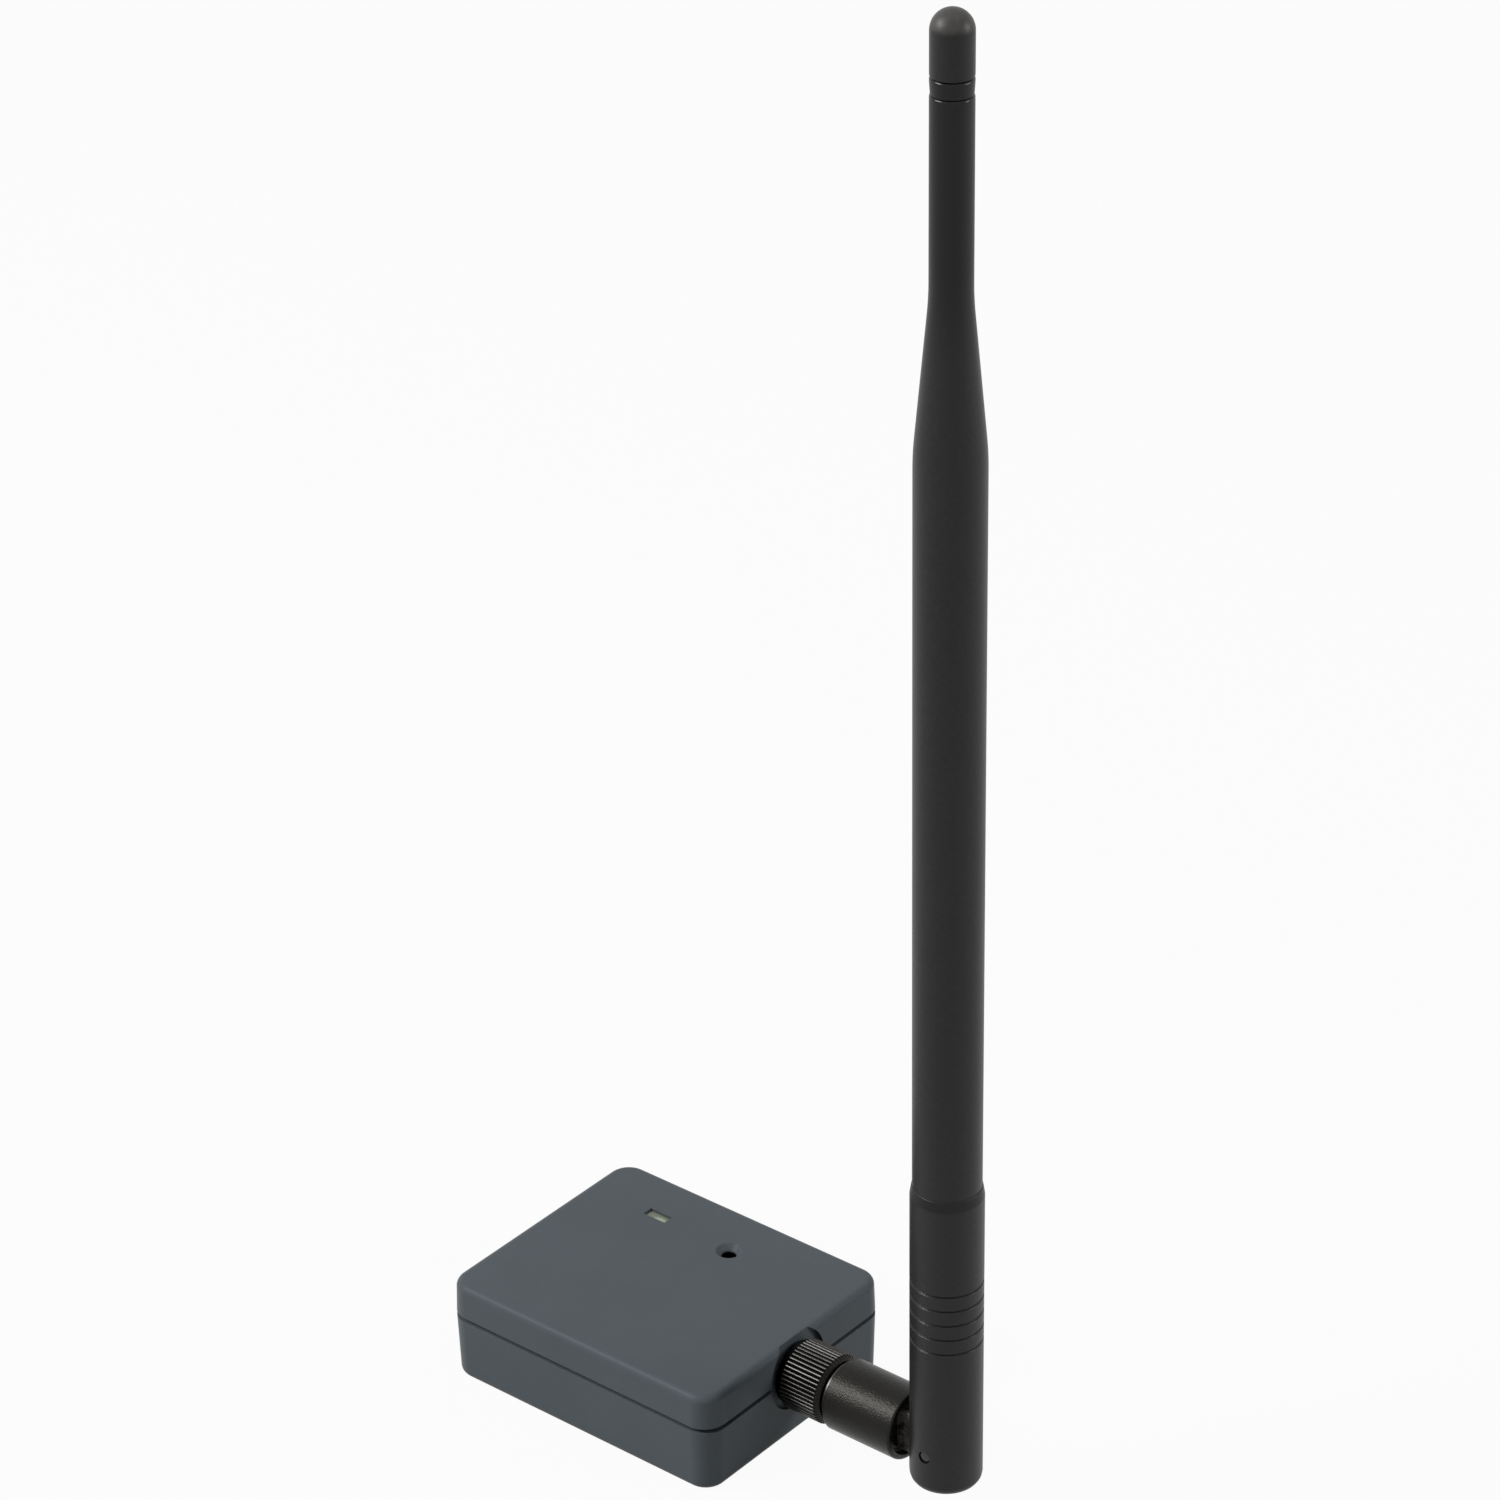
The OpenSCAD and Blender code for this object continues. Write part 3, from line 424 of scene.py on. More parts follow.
def rounded(points, steps=5, closed=True):
    """The outline with each corner that has a third value, its radius, rounded off."""
    made = []
    for i, point in enumerate(points):
        here = Vector(point[:2])
        radius = point[2] if len(point) > 2 else 0
        if not radius or (not closed and i in (0, len(points) - 1)):
            made.append(here)
            continue
        back = (Vector(points[i - 1][:2]) - here).normalized()
        on = (Vector(points[(i + 1) % len(points)][:2]) - here).normalized()
        half = back.angle(on) / 2
        middle = here + (back + on).normalized() * (radius / math.sin(half))
        first = here + back * (radius / math.tan(half)) - middle
        last = here + on * (radius / math.tan(half)) - middle
        start = math.atan2(first.y, first.x)
        turn = (math.atan2(last.y, last.x) - start + math.pi) % (2 * math.pi) - math.pi
        for k in range(steps + 1):
            angle = start + turn * k / steps
            made.append(middle + radius * Vector((math.cos(angle), math.sin(angle))))
    return made


def ring_points(radius, start, end, steps):
    """Points on an arc about the middle, with angles in degrees."""
    angles = [math.radians(start + (end - start) * k / steps) for k in range(steps + 1)]
    return [(radius * math.cos(a), radius * math.sin(a)) for a in angles]


def turned(outline, segments=96, shape=None):
    """A closed outline of (radius, height) turned about +Z. shape may change the radius with the angle."""
    points, faces, columns = [], [], []
    poles = {}
    for j in range(segments):
        angle = 2 * math.pi * j / segments
        column = []
        for i, (radius, height) in enumerate(outline):
            if radius < 1e-6:
                if i not in poles:
                    poles[i] = len(points)
                    points.append((0.0, 0.0, height))
                column.append(poles[i])
                continue
            reach = shape(radius, height, angle) if shape else radius
            column.append(len(points))
            points.append((reach * math.cos(angle), reach * math.sin(angle), height))
        columns.append(column)
    for j in range(segments):
        here, there = columns[j], columns[(j + 1) % segments]
        for i in range(len(outline)):
            k = (i + 1) % len(outline)
            corners = list(dict.fromkeys((here[i], there[i], there[k], here[k])))
            if len(corners) > 2:
                faces.append(corners)
    return points, faces


def lofted(loops):
    """A closed skin over loops of equally many points, with a flat end at each side."""
    count = len(loops[0])
    points = [point for loop in loops for point in loop]
    faces = [list(range(count)), list(range(len(points) - count, len(points)))]
    for i in range(len(loops) - 1):
        for j in range(count):
            k = (j + 1) % count
            faces.append([i * count + j, i * count + k, (i + 1) * count + k, (i + 1) * count + j])
    return points, faces


def joined(*shapes):
    points, faces = [], []
    for more_points, more_faces in shapes:
        faces += [[index + len(points) for index in face] for face in more_faces]
        points += list(more_points)
    return points, faces


def moved(shape, place):
    points, faces = shape
    return [tuple(place @ Vector(point)) for point in points], faces


def shift(x, y, z):
    return Matrix.Translation((x, y, z))


def along_socket(x):
    """Lays what stands on +Z along the antenna socket's axis, from x on."""
    return shift(x, 0, AXIS_Z) @ Matrix.Rotation(math.radians(90), 4, "Y")


AT_HINGE = shift(PIVOT_X, 0, AXIS_Z)
ACROSS_HINGE = AT_HINGE @ Matrix.Rotation(math.radians(90), 4, "X")


def solid(name, shape):
    points, faces = shape
    mesh = bpy.data.meshes.new(name)
    mesh.from_pydata([[c * MM for c in point] for point in points], [], faces)
    form = bmesh.new()
    form.from_mesh(mesh)
    bmesh.ops.remove_doubles(form, verts=form.verts, dist=1e-8)
    bmesh.ops.recalc_face_normals(form, faces=form.faces)
    form.to_mesh(mesh)
    form.free()
    made = bpy.data.objects.new(name, mesh)
    bpy.context.scene.collection.objects.link(made)
    return made


def worked(piece, operation, *shapes):
    """Adds shapes to a piece, or cuts them out of it."""
    for shape in shapes:
        tool = solid("tool", shape)
        step = piece.modifiers.new("step", "BOOLEAN")
        step.operation = operation
        step.solver = "EXACT"
        step.object = tool
        bpy.context.view_layer.update()
        result = piece.evaluated_get(bpy.context.evaluated_depsgraph_get())
        mesh = bpy.data.meshes.new_from_object(result)
        piece.modifiers.clear()
        old, piece.data = piece.data, mesh
        bpy.data.meshes.remove(old)
        bpy.data.meshes.remove(tool.data)
    return piece


def finished(piece, slot, body, replaced, crease=35):
    """Smooths a piece, gives it its finish, and sets it on its body in place of the plain solids."""
    mesh = piece.data
    mesh.name = piece.name
    mesh.materials.clear()
    mesh.materials.append(FINISHES[slot].material)
    for face in mesh.polygons:
        face.material_index = 0
    mesh.shade_smooth()
    mesh.set_sharp_from_angle(angle=math.radians(crease))
    normals = piece.modifiers.new("even_normals", "WEIGHTED_NORMAL")
    normals.keep_sharp = True
    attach(piece, body)
    if replaced:
        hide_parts(*replaced)
    return piece


def corner_at(z):
    """Radius of the case's upright corners at a height. The walls lean in from the parting line."""
    return CORNER_R - abs(z - SPLIT_Z) * math.tan(DRAFT)


def plan_loop(radius, z, steps=12):
    points = []
    for side_x, side_y, start in ((1, 1, 0), (-1, 1, 90), (-1, -1, 180), (1, -1, 270)):
        points += [
            (side_x * CORNER_X + x, side_y * CORNER_Y + y, z)
            for x, y in ring_points(radius, start, start + 90, steps)
        ]
    return points


def case_form(profile):
    return lofted([plan_loop(radius, z) for radius, z in rounded(profile, 8, closed=False)])


def upright(x, y, outline, segments=48):
    return moved(turned(outline, segments), shift(x, y, 0))


def rod(radius, low, high):
    return [(0, low), (radius, low), (radius, high), (0, high)]


def socket_way():
    """The round pocket in the end wall and the barrel's way through it."""
    way = BARREL_R + 0.3
    outline = rounded([
        (0, -WALL - 1), (way, -WALL - 1), (way, 0, 0.12),
        (POCKET_R, 0, 0.2), (POCKET_R, POCKET_DEPTH + 1), (0, POCKET_DEPTH + 1),
    ])
    return moved(turned(outline, 128), along_socket(POCKET_X))


def socket_arch():
    """The pocket's higher arch in the cover."""
    outline = rounded([(0, 0), (POCKET_R, 0, 0.2), (POCKET_R, POCKET_DEPTH + 1), (0, POCKET_DEPTH + 1)])
    return moved(turned(outline, 128), shift(0, 0, ARCH_RISE) @ along_socket(POCKET_X))


def block_loop(length, width, z, x=0.0, y=0.0):
    return [
        (x + side_x * length / 2, y + side_y * width / 2, z)
        for side_x, side_y in ((1, 1), (-1, 1), (-1, -1), (1, -1))
    ]


def case_cover():
    step_r = CORNER_R - WALL + RIM_T + RIM_CLEAR
    piece = solid("case_cover", case_form([
        (corner_at(CEILING) - WALL, CEILING), (corner_at(RIM_TOP) - WALL, RIM_TOP), (step_r, RIM_TOP),
        (step_r, COVER_BOTTOM), (corner_at(COVER_BOTTOM), COVER_BOTTOM, LIP_R),
        (corner_at(CASE_H), CASE_H, EDGE_R), (FLAT_R, CASE_H),
    ]))
    boss = rod(BOSS_R, BOARD_TOP, CEILING + PANEL_T / 2)
    pilot = rod(PILOT_R, BOARD_TOP - 1, PILOT_TOP)
    flare = 0.12
    window = lofted([
        block_loop(WINDOW_L, WINDOW_W, CEILING - 1, WINDOW_X, WINDOW_Y),
        block_loop(WINDOW_L, WINDOW_W, CASE_H - flare, WINDOW_X, WINDOW_Y),
        block_loop(WINDOW_L + flare, WINDOW_W + flare, CASE_H - flare / 3, WINDOW_X, WINDOW_Y),
        block_loop(WINDOW_L + 3 * flare, WINDOW_W + 3 * flare, CASE_H + flare, WINDOW_X, WINDOW_Y),
    ])
    sink_z = CASE_H - SINK_DEPTH
    pin_hole = rounded([
        (0, CEILING - 1), (SINK_R, CEILING - 1), (SINK_R, sink_z - 0.5),
        (HOLE_R, sink_z - 0.25), (HOLE_R, sink_z, 0.15), (SINK_R, CASE_H, 0.2),
        (SINK_R + 1, CASE_H + 0.2), (0, CASE_H + 0.2),
    ])
    worked(piece, "UNION", *[upright(x, y, boss) for x, y in POSTS])
    worked(piece, "DIFFERENCE", *[upright(x, y, pilot) for x, y in POSTS])
    worked(piece, "DIFFERENCE", socket_way(), socket_arch(), window)
    worked(piece, "DIFFERENCE", upright(BUTTON_X, BUTTON_Y, pin_hole, 72))
    return finished(piece, "case_plastic", "housing", ["top_cover"])


def stadium_loop(width, height, x):
    """The data socket's round-ended outline, in the plane at x."""
    half_flat = 0.02
    radius = height / 2 - half_flat
    flat_y, flat_z = width / 2 - radius, height / 2 - radius
    points = []
    for side_y, side_z, start in ((1, 1, 0), (-1, 1, 90), (-1, -1, 180), (1, -1, 270)):
        points += [
            (x, side_y * flat_y + y, DATA_Z + side_z * flat_z + z)
            for y, z in ring_points(radius, start, start + 90, 8)
        ]
    return points


def case_base():
    rim_r = CORNER_R - WALL + RIM_T
    piece = solid("case_base", case_form([
        (FLAT_R, 0), (corner_at(0), 0, EDGE_R), (corner_at(BASE_TOP), BASE_TOP, LIP_R), (rim_r, BASE_TOP),
        (rim_r, RIM_TOP, 0.1), (CORNER_R - WALL, RIM_TOP, 0.1), (CORNER_R - WALL, SPLIT_Z),
        (corner_at(PANEL_T) - WALL, PANEL_T),
    ]))
    post = rod(POST_R, PANEL_T / 2, BOARD_Z)
    screw_way = rounded([
        (0, -0.2), (HEAD_WAY_R + 0.3, -0.2), (HEAD_WAY_R, 0.1), (HEAD_WAY_R, SCREW_SEAT),
        (SHANK_WAY_R, SCREW_SEAT), (SHANK_WAY_R, BOARD_Z + 1), (0, BOARD_Z + 1),
    ])
    mouth = lofted([
        stadium_loop(DATA_W + MOUTH_GROWTH, DATA_H + MOUTH_GROWTH, x)
        for x in (-CASE_L / 2 - 1, -CASE_L / 2 + MOUTH_DEPTH)
    ])
    worked(piece, "UNION", *[upright(x, y, post) for x, y in POSTS])
    worked(piece, "DIFFERENCE", *[upright(x, y, screw_way) for x, y in POSTS])
    worked(piece, "DIFFERENCE", socket_way(), mouth)
    return finished(piece, "case_plastic", "housing", ["base_shell"])


def window_pipe():
    """The light pipe: its milky head in the window, its flange under the panel and its stem."""
    flange, edge, fit = 1.0, 1.2, 0.02
    head_top = CASE_H - WINDOW_DEPTH
    under = CEILING - flange
    stem_z = BOARD_TOP + 1.2
    head = [
        (WINDOW_L - 2 * fit, WINDOW_W - 2 * fit, CEILING),
        (WINDOW_L - 2 * fit, WINDOW_W - 2 * fit, head_top - 0.1),
        (WINDOW_L - 0.25, WINDOW_W - 0.25, head_top),
    ]
    wide, deep = WINDOW_L + 2 * edge, WINDOW_W + 2 * edge
    body = [
        (WINDOW_L - edge, WINDOW_W, stem_z), (WINDOW_L - edge, WINDOW_W, under),
        (wide, deep, under), (wide, deep, CEILING),
    ]
    loops = [block_loop(length, width, z, WINDOW_X, WINDOW_Y) for length, width, z in body + head]
    piece = solid("window_pipe", lofted(loops))
    return finished(piece, "light_pipe_plastic", "housing", ["light_pipe"])


def pairing_button():
    low, high, radius = BOARD_TOP + 1.4, CEILING - 0.8, 1.7
    outline = rounded([(0, low), (radius, low, 0.2), (radius, high, 0.3), (0, high)])
    piece = solid("pairing_button", upright(BUTTON_X, BUTTON_Y, outline))
    return finished(piece, "black_plastic", "button", ["pair_button"])


def socket_shell():
    end = DATA_X + DATA_L
    lip = 0.12
    outside = [stadium_loop(DATA_W - 2 * inset, DATA_H - 2 * inset, x) for inset, x in (
        (0, end), (0, DATA_X + lip), (0.3 * lip, DATA_X + 0.3 * lip), (lip, DATA_X),
    )]
    inside = [stadium_loop(DATA_W - 2 * inset, DATA_H - 2 * inset, x) for inset, x in (
        (DATA_WALL - 0.05, DATA_X), (DATA_WALL, DATA_X + 0.1), (DATA_WALL, end),
    )]
    loops = outside + inside
    points, faces = lofted(loops)
    count = len(loops[0])
    last = len(points) - count
    faces = faces[2:] + [[j, (j + 1) % count, last + (j + 1) % count, last + j] for j in range(count)]
    piece = solid("data_socket_shell", (points, faces))
    return finished(piece, "bright_steel", "housing", ["data_shell"])


def socket_tongue():
    """The moulded tongue of the data socket, and the rows of contacts that lie on both its faces."""
    fit = DATA_WALL + 0.02
    back = [stadium_loop(DATA_W - 2 * fit, DATA_H - 2 * fit, x) for x in (DATA_BACK, DATA_X + DATA_L)]

    def slice_at(x, y, z, half_w, half_t):
        corners = ((half_w, -half_t), (half_w, half_t), (-half_w, half_t), (-half_w, -half_t))
        return [(x, y + across, z + up) for across, up in corners]

    blade = [
        slice_at(x, 0, DATA_Z, BLADE_W / 2 - inset, BLADE_T / 2 - inset)
        for x, inset in ((BLADE_TIP, 0.12), (BLADE_TIP + 0.15, 0), (DATA_BACK + 1, 0))
    ]
    piece = solid("data_socket_tongue", lofted(back))
    worked(piece, "UNION", lofted(blade))
    finished(piece, "black_plastic", "housing", ["data_tongue"])
    strips = []
    for i in range(CONTACTS):
        y = (i - (CONTACTS - 1) / 2) * CONTACT_PITCH
        ends = (BLADE_TIP + (0.35 if i in LONG_CONTACTS else 0.6), DATA_BACK - 0.02)
        for side in (-1, 1):
            face = DATA_Z + side * BLADE_T / 2
            strips.append(lofted([slice_at(x, y, face, CONTACT_W / 2, CONTACT_RISE) for x in ends]))
    contacts = solid("data_socket_contacts", joined(*strips))
    return finished(contacts, "gold_plating", "housing", [])


def cover_screws():
    sunk, head_h, head_r, shank_r, tip = 0.5, 1.5, 2.2, 1.15, 14.0
    outline = rounded([
        (0, sunk), (head_r - 0.1, sunk, 0.35), (head_r, sunk + head_h, 0.1), (shank_r, sunk + head_h),
        (shank_r, tip - 0.8), (0.4, tip), (0, tip),
    ])
    piece = solid("cover_screws", joined(*[upright(x, y, outline) for x, y in POSTS]))
    slot_top, slot_bottom, slot_depth = (2.5, 0.62), (1.4, 0.4), 0.95
    arm = lofted([block_loop(*slot_top, sunk - 0.3), block_loop(*slot_bottom, sunk + slot_depth)])
    for x, y in POSTS:
        for turn in (0, 90):
            place = shift(x, y, 0) @ Matrix.Rotation(math.radians(turn), 4, "Z")
            worked(piece, "DIFFERENCE", moved(arm, place))
    return finished(piece, "bright_steel", "housing", ["case_screws"])


def threaded(radius, height, angle):
    """Cuts a right-hand thread into the barrel's outside."""
    depth, half_width = 0.3, 0.42
    if radius < BARREL_R - 0.05 or not 0.45 < height < FACE_X - POCKET_X - 0.3:
        return radius
    turn = (height / THREAD_PITCH - angle / (2 * math.pi)) % 1.0
    return radius - depth * max(0.0, 1 - abs(turn - 0.5) / half_width)


def antenna_jack():
    """The board-mounted socket: a block with a threaded barrel."""
    length, root = FACE_X - POCKET_X, -6.0
    rows = 84
    side = [(BARREL_R, 0.05 + (length - 0.35) * k / rows) for k in range(rows + 1)]
    barrel = [(0, root), (BARREL_R, root)] + side + [(BARREL_R - 0.25, length), (0, length)]
    piece = solid("antenna_jack", moved(turned(barrel, 72, threaded), along_socket(POCKET_X)))
    top = AXIS_Z + JACK_W / 2
    middle = JACK_X + JACK_L / 2
    block = lofted([
        block_loop(JACK_L - inset, JACK_W - inset, z, middle)
        for inset, z in ((0, BOARD_TOP), (0, top - 0.2), (0.4, top))
    ])
    worked(piece, "UNION", block)
    bore_x = JACK_X + JACK_BACK_T
    bore = moved(turned(rod(SOCKET_BORE_R, 0, FACE_X - JACK_X), 48), along_socket(bore_x))
    lead = upright(bore_x, 0, rod(LEAD_R, BOARD_TOP - 1, AXIS_Z), 32)
    worked(piece, "DIFFERENCE", bore, lead)
    return finished(piece, "gold_plating", "housing", ["jack_body"], 50)


def antenna_plug():
    """The plug's tube, collar and spigot."""
    collar = COLLAR_X - FACE_X
    ring, ring_r = NUT_RING_X - FACE_X, PLUG_TUBE_R - NUT_RING_DEPTH
    clip, clip_r = CLIP_X - FACE_X, SPIGOT_R - CLIP_DEPTH
    end = SPIGOT_END - FACE_X
    outline = rounded([
        (SOCKET_BORE_R, 0), (PLUG_TUBE_R, 0, 0.15),
        (PLUG_TUBE_R, ring), (ring_r, ring), (ring_r, ring + NUT_RING_W), (PLUG_TUBE_R, ring + NUT_RING_W),
        (PLUG_TUBE_R, collar), (COLLAR_R, collar, 0.25), (COLLAR_R, collar + COLLAR_L, 0.25),
        (SPIGOT_R, collar + COLLAR_L),
        (SPIGOT_R, clip), (clip_r, clip), (clip_r, clip + CLIP_W), (SPIGOT_R, clip + CLIP_W),
        (SPIGOT_R, end, 0.2), (SOCKET_BORE_R, end),
    ])
    piece = solid("antenna_plug", moved(turned(outline, 96), along_socket(FACE_X)))
    return finished(piece, "plug_plating", "plug", ["plug_body"])


def ridged(radius, height, angle):
    """Gives the nut's outside its straight, round-topped ridges."""
    inside_r = 5
    if radius < inside_r:
        return radius
    share = abs((angle * RIDGES / (2 * math.pi)) % 1.0 - 0.5) * 2
    slope = min(1.0, max(0.0, (share - 0.3) / 0.5))
    return min(radius, NUT_R - RIDGE_DEPTH * slope * slope * (3 - 2 * slope))


def knurled_nut():
    low = NUT_R - 2 * RIDGE_DEPTH
    bore, web, ring_r = BARREL_R + 0.08, 2.95, 3.4
    web_z, ring_z = NUT_L - 1.6, NUT_L - 2.6
    outline = rounded([
        (bore, 0, 0.15), (low, 0, 0.9), (low, NUT_SHOULDER, 0.1),
        (NUT_R, NUT_SHOULDER + RIDGE_DEPTH, 0.15), (NUT_R, NUT_L - NUT_BEVEL, 0.12),
        (NUT_R - 3 * RIDGE_DEPTH, NUT_L, 0.2), (web, NUT_L), (web, web_z),
        (ring_r, web_z), (ring_r, ring_z), (bore, ring_z),
    ])
    piece = solid("knurled_nut", moved(turned(outline, RIDGES * 10, ridged), along_socket(NUT_X)))
    return finished(piece, "nut_plating", "nut", ["coupling_nut"], 60)


def tongue_loop(inset, y):
    """The hinge tongue's outline: a round end about the hinge and a straight root in the knuckle."""
    radius = TONGUE_R - inset
    root = PIVOT_X - KNUCKLE_X - KNUCKLE_L + TONGUE_ROOT
    outline = [(-root, -radius)] + ring_points(radius, -90, 90, 24) + [(-root, radius)]
    return [(PIVOT_X + x, y, AXIS_Z + z) for x, z in outline]


def elbow_knuckle():
    front, bore, hollow_r = 0.45, SPIGOT_R + 0.05, KNUCKLE_R - HOLLOW_RIM
    bottom = KNUCKLE_L - HOLLOW
    clip = CLIP_X - KNUCKLE_X - 0.05
    clip_end, clip_r = clip + CLIP_W + 0.1, SPIGOT_R + 0.8
    outline = rounded([
        (bore, front), (KNUCKLE_R, front, 0.3), (KNUCKLE_R, KNUCKLE_L, 0.55), (hollow_r, KNUCKLE_L, 0.25),
        (hollow_r, bottom, 0.35), (FEED_R, bottom), (FEED_R, SPIGOT_HOLE_L), (bore, SPIGOT_HOLE_L),
        (bore, clip_end), (clip_r, clip_end), (clip_r, clip), (bore, clip),
    ], 6)
    piece = solid("elbow_knuckle", moved(turned(outline, 112), along_socket(KNUCKLE_X)))
    half, edge, bend = TONGUE_T / 2, 0.3, 0.09
    tongue = lofted([tongue_loop(inset, y) for inset, y in (
        (edge, -half), (bend, -half + bend), (0, -half + edge),
        (0, half - edge), (bend, half - bend), (edge, half),
    )])
    cable_x, cable_end = KNUCKLE_X + FEED_START, PIVOT_X - PIN_R - FEED_R
    cable_way = moved(turned(rod(FEED_R, 0, cable_end - cable_x), 40), along_socket(cable_x))
    pin_way = moved(turned(rod(PIN_R + 0.05, -PIN_WAY_REACH, PIN_WAY_REACH), 40), ACROSS_HINGE)
    worked(piece, "UNION", tongue)
    worked(piece, "DIFFERENCE", cable_way, pin_way)
    return finished(piece, "knuckle_plastic", "swivel", ["knuckle"])


def plate_across(outline, width):
    """An outline in the hinge's plane, as a plate of this width."""
    return lofted([[(PIVOT_X + x, y, AXIS_Z + z) for x, z in outline] for y in (-width / 2, width / 2)])


def antenna_foot():
    far = 2 * SLEEVE_R
    lip = 0.14
    grooves = []
    for i in range(GROOVES):
        z = GROOVE_FIRST + GROOVE_PITCH * i
        grooves += [
            (SLEEVE_R, z - GROOVE_W / 2, lip), (SLEEVE_R - GROOVE_DEPTH, z - 0.1, 0.05),
            (SLEEVE_R - GROOVE_DEPTH, z + 0.1, 0.05), (SLEEVE_R, z + GROOVE_W / 2, lip),
        ]
    shoulder = [
        (SLEEVE_R, SLEEVE_RISE - 1.9, 1.0), (SLEEVE_R - 0.3, SLEEVE_RISE - 0.1, 0.25), (TUBE_R, SLEEVE_RISE),
    ]
    seat = SLEEVE_RISE - TUBE_SPIGOT_L - 0.3
    bore = TUBE_R - TUBE_WALL - 0.5
    wide = TUBE_R - TUBE_WALL + TUBE_SPIGOT_T + 0.02
    inside = [
        (wide, SLEEVE_RISE), (wide, seat), (bore, seat), (bore, FOOT_FLOOR), (FEED_R, FOOT_FLOOR),
    ]
    foot = [(FEED_R, -SLEEVE_DROP), (SLEEVE_R, -SLEEVE_DROP, FOOT_R)]
    outline = rounded(foot + grooves + shoulder + inside, 4)
    piece = solid("antenna_foot", moved(turned(outline, 128), AT_HINGE))
    slot = [(-far, -far), (SLOT_R, -far)] + ring_points(SLOT_R, 0, 90, 16) + [(-far, SLOT_R)]
    slope_x = 2 * (SLEEVE_DROP - SWING_R)
    swing = ring_points(SWING_R, -90, -180, 20)
    corner = [(slope_x, -far), (slope_x, -SLEEVE_DROP)] + swing + [(-far, 0), (-far, -far)]
    pin_way = moved(turned(rod(PIN_R + 0.03, -PIN_WAY_REACH, PIN_WAY_REACH), 48), ACROSS_HINGE)
    worked(piece, "DIFFERENCE", plate_across(slot, SLOT_W), plate_across(corner, far + 2), pin_way)
    return finished(piece, "antenna_plastic", "antenna", ["base_sleeve"], 40)


def cross_pin():
    half, dome = SLEEVE_R - 0.16, 0.3
    angles = (0, 0.35, 0.7, 1.05, 1.3, 1.5)
    end = [(PIN_R * math.sin(a), half - dome + dome * math.cos(a)) for a in angles]
    outline = [(r, -z) for r, z in end] + [(r, z) for r, z in reversed(end)]
    piece = solid("cross_pin", moved(turned(outline, 48), ACROSS_HINGE))
    return finished(piece, "plug_plating", "antenna", ["hinge_pin"], 50)


def antenna_tube():
    bore, upper_bore = TUBE_R - TUBE_WALL, UPPER_R - TUBE_WALL
    spigot_z, spigot_r = SLEEVE_RISE - TUBE_SPIGOT_L, bore + TUBE_SPIGOT_T
    outline = rounded([
        (bore, spigot_z), (spigot_r, spigot_z), (spigot_r, SLEEVE_RISE), (TUBE_R, SLEEVE_RISE, 0.08),
        (TUBE_R, TUBE_TOP, TAPER_BEND_R), (UPPER_R, TAPER_TOP, TAPER_BEND_R), (UPPER_R, UPPER_TOP, 0.5),
        (upper_bore, UPPER_TOP), (upper_bore, TAPER_TOP), (bore, TUBE_TOP),
    ], 6)
    piece = solid("antenna_tube", moved(turned(outline, 112), AT_HINGE))
    return finished(piece, "antenna_plastic", "antenna", ["radome"])


def neck_ring():
    flare = 0.18
    bore, top_r = UPPER_R - TUBE_WALL, UPPER_R + flare / 4
    outline = rounded([(bore, 0), (top_r - flare, 0, 0.2), (top_r, RING_H, 0.5), (bore, RING_H)])
    piece = solid("neck_ring", moved(turned(outline, 96), AT_HINGE @ shift(0, 0, UPPER_TOP)))
    return finished(piece, "antenna_plastic", "antenna", ["tip_ring"])


def round_cap():
    stem_r, stem_l = UPPER_R - TUBE_WALL - 0.02, 9.0
    stem_z, ring_top = UPPER_TOP - stem_l, UPPER_TOP + RING_H
    dome_z = ring_top + CAP_L - UPPER_R
    dome = [(r, dome_z + z) for r, z in ring_points(UPPER_R, 0, 90, 18)][:-1]
    stem = [(0, stem_z), (stem_r, stem_z, 0.2), (stem_r, ring_top), (UPPER_R, ring_top, 0.35)]
    outline = rounded(stem + dome + [(0, ring_top + CAP_L)])
    piece = solid("round_cap", moved(turned(outline, 96), AT_HINGE))
    return finished(piece, "antenna_plastic", "antenna", ["tip_cap"])


case_cover()
case_base()
window_pipe()
pairing_button()
socket_shell()
socket_tongue()
cover_screws()
antenna_jack()
antenna_plug()
knurled_nut()
elbow_knuckle()
antenna_foot()
cross_pin()
antenna_tube()
neck_ring()
round_cap()

# The pieces inside keep their solids and take their finish from the record.
for part in frame["record"]["subparts"]:
    node = frame["nodes"][part["node"]]
    node.data.materials.clear()
    node.data.materials.append(FINISHES[part["material_slot"]].material)


# Light: each lamp's name, its direction from the part, its distance and size in metres, and its watts
LAMP_TARGET = (0.03, 0.0, 0.06)
SKY_LIGHT = 0.25
LAMPS = [
    ("key_box", (-0.55, -0.6, 0.66), 1.3, 0.55, 14.5),
    ("top_box", (0.1, 0.1, 1.0), 1.4, 0.9, 1.5),
    ("side_box", (0.8, 0.45, 0.34), 1.3, 0.4, 5.7),
]
WHITE = (1.0, 1.0, 1.0, 1.0)


def seen_rays(board):
    """1 for the rays that see the background, straight or in polished and clear surfaces."""
    ray = board.node("ShaderNodeLightPath", out="Is Camera Ray")
    return ray + ray.outlet("Is Glossy Ray") + ray.outlet("Is Transmission Ray") & 1.0


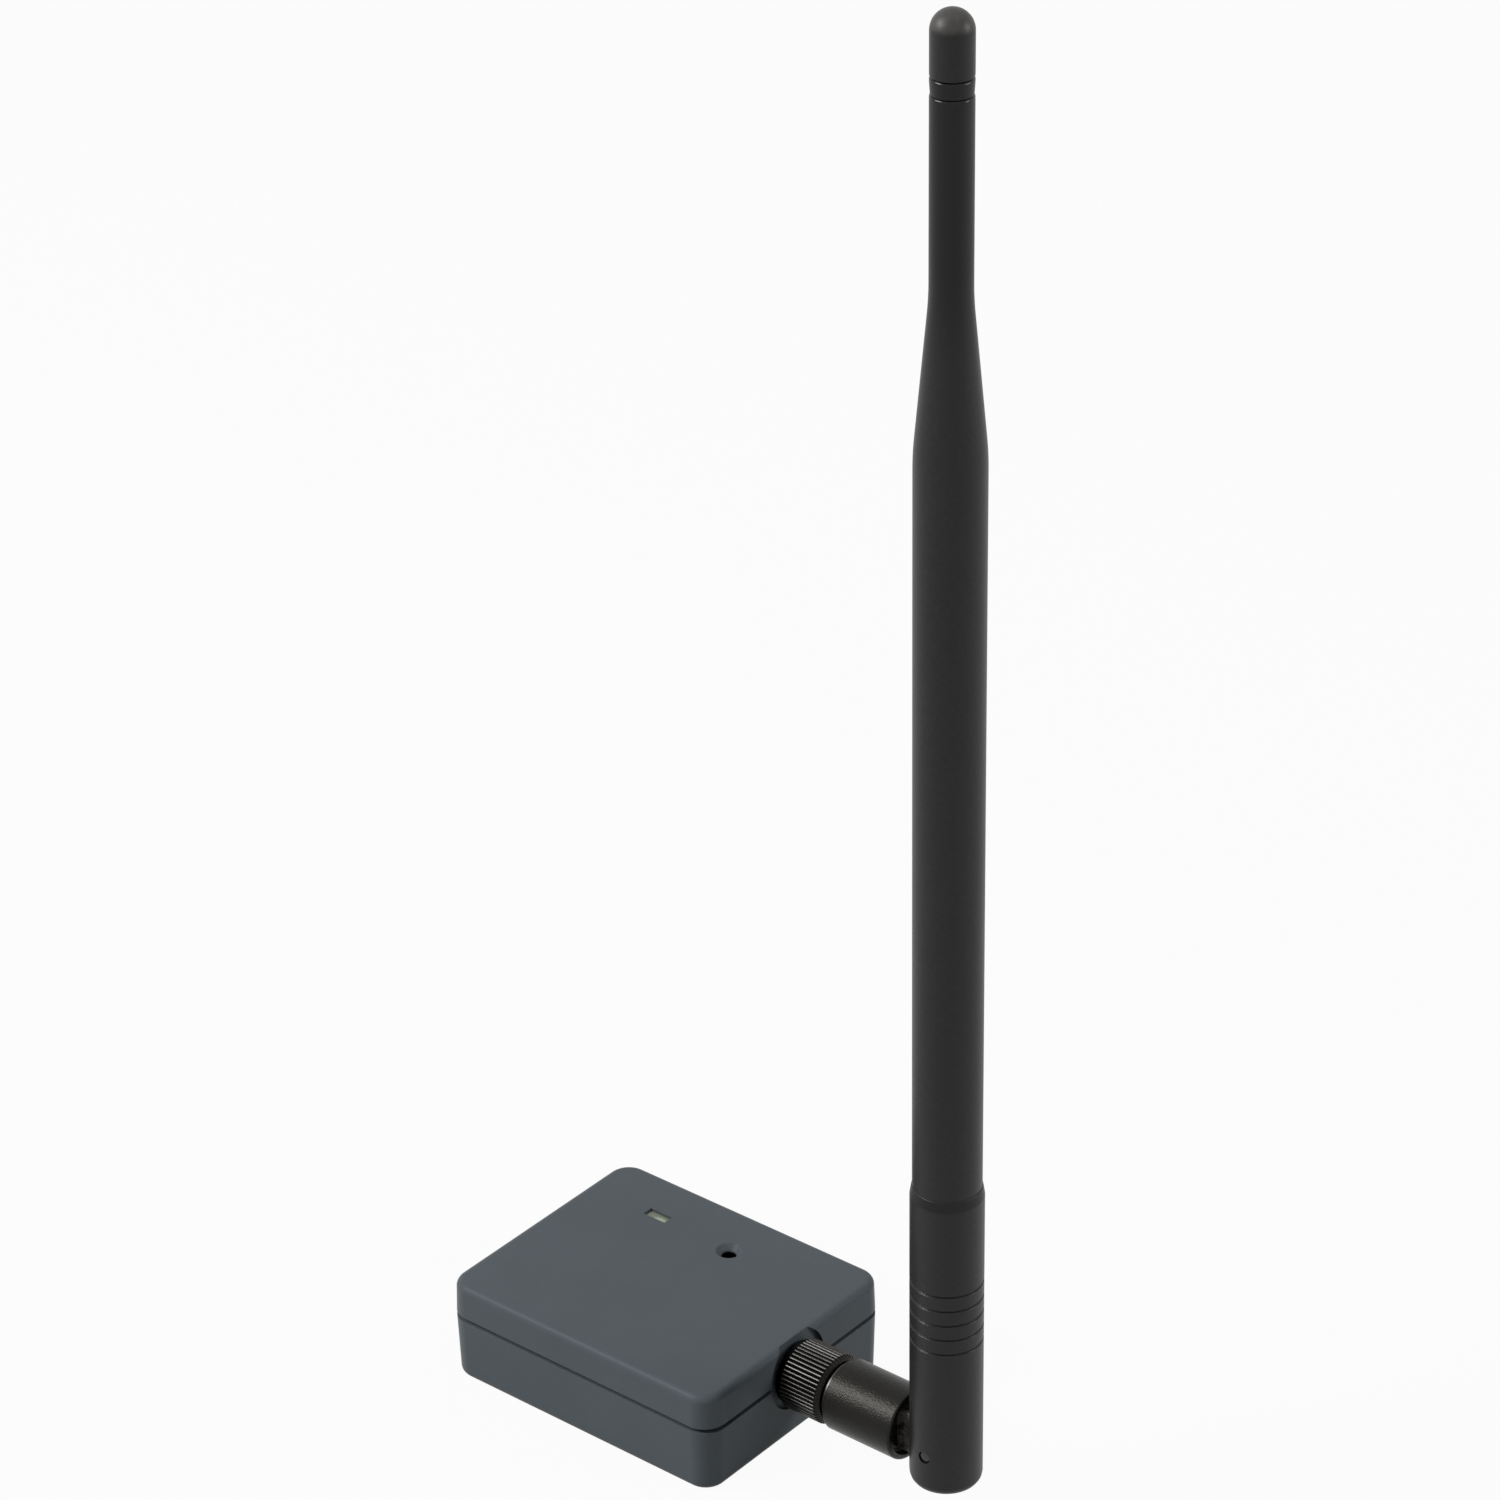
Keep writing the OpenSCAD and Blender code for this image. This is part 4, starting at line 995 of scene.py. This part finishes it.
def floor_and_light():
    """A pale floor, a white background and soft studio light."""
    world = bpy.data.worlds.new("studio")
    bpy.context.scene.world = world
    world.use_nodes = True
    sky = Board(world.node_tree)
    seen = seen_rays(sky)
    background = world.node_tree.nodes["Background"]
    sky.feed(background.inputs["Color"], WHITE)
    sky.feed(background.inputs["Strength"], seen * (1 - SKY_LIGHT) + SKY_LIGHT)

    half = 4.0
    mesh = bpy.data.meshes.new("floor")
    corners = [(-half, -half, 0), (half, -half, 0), (half, half, 0), (-half, half, 0)]
    mesh.from_pydata(corners, [], [(0, 1, 2, 3)])
    floor = bpy.data.objects.new("floor", mesh)
    bpy.context.scene.collection.objects.link(floor)
    paint = Finish("floor_paint", Roughness=0.9, Specular_IOR_Level=0.1)
    clouds = paint.noise(300, 2.0)
    paint.surface(Base_Color=paint.blend(clouds, shade(0.5), shade(0.54)))
    seen = seen_rays(paint)
    glow = paint.node("ShaderNodeEmission", None, {"Color": WHITE, "Strength": 1.0})
    mixed = paint.node(
        "ShaderNodeMixShader", None, {0: seen * 0.95, 1: Wire(paint, paint.shader.outputs[0]), 2: glow}
    )
    paint.feed(paint.tree.nodes["Material Output"].inputs["Surface"], mixed)
    mesh.materials.append(paint.material)

    for name, toward, distance, size, power in LAMPS:
        data = bpy.data.lights.new(name, "AREA")
        data.shape = "SQUARE"
        data.size = size
        data.energy = power
        lamp = bpy.data.objects.new(name, data)
        bpy.context.scene.collection.objects.link(lamp)
        direction = Vector(toward).normalized()
        lamp.location = Vector(LAMP_TARGET) + direction * distance
        lamp.rotation_euler = direction.to_track_quat("Z", "Y").to_euler()


floor_and_light()


def photo_camera():
    """The camera at the photograph's place, by its turn round the part, its height and its own roll."""
    turn, height, roll = (math.radians(a) for a in (39.6817, 29.2449, -0.9446))
    distance, aside, above = 0.9793125, 0.0152, 0.11403
    focal_px, photo_px = 5312.0, 1500.0
    aim_x, aim_y = math.sin(turn) * math.cos(height), -math.cos(turn) * math.cos(height)
    back = Vector((aim_x, aim_y, math.sin(height)))
    level = Vector((math.cos(turn), math.sin(turn), 0))
    rise = back.cross(level)
    right = level * math.cos(roll) + rise * math.sin(roll)
    up = rise * math.cos(roll) - level * math.sin(roll)
    data = bpy.data.cameras.new("photo_camera")
    data.sensor_width = 36.0
    data.lens = data.sensor_width * focal_px / photo_px
    data.clip_start, data.clip_end = 0.01, 30.0
    camera = bpy.data.objects.new("photo_camera", data)
    bpy.context.scene.collection.objects.link(camera)
    place = Matrix((right, up, back)).transposed().to_4x4()
    place.translation = back * distance + right * aside + up * above
    camera.matrix_world = place
    bpy.context.scene.camera = camera


photo_camera()
bpy.context.scene.view_settings.view_transform = "Standard"
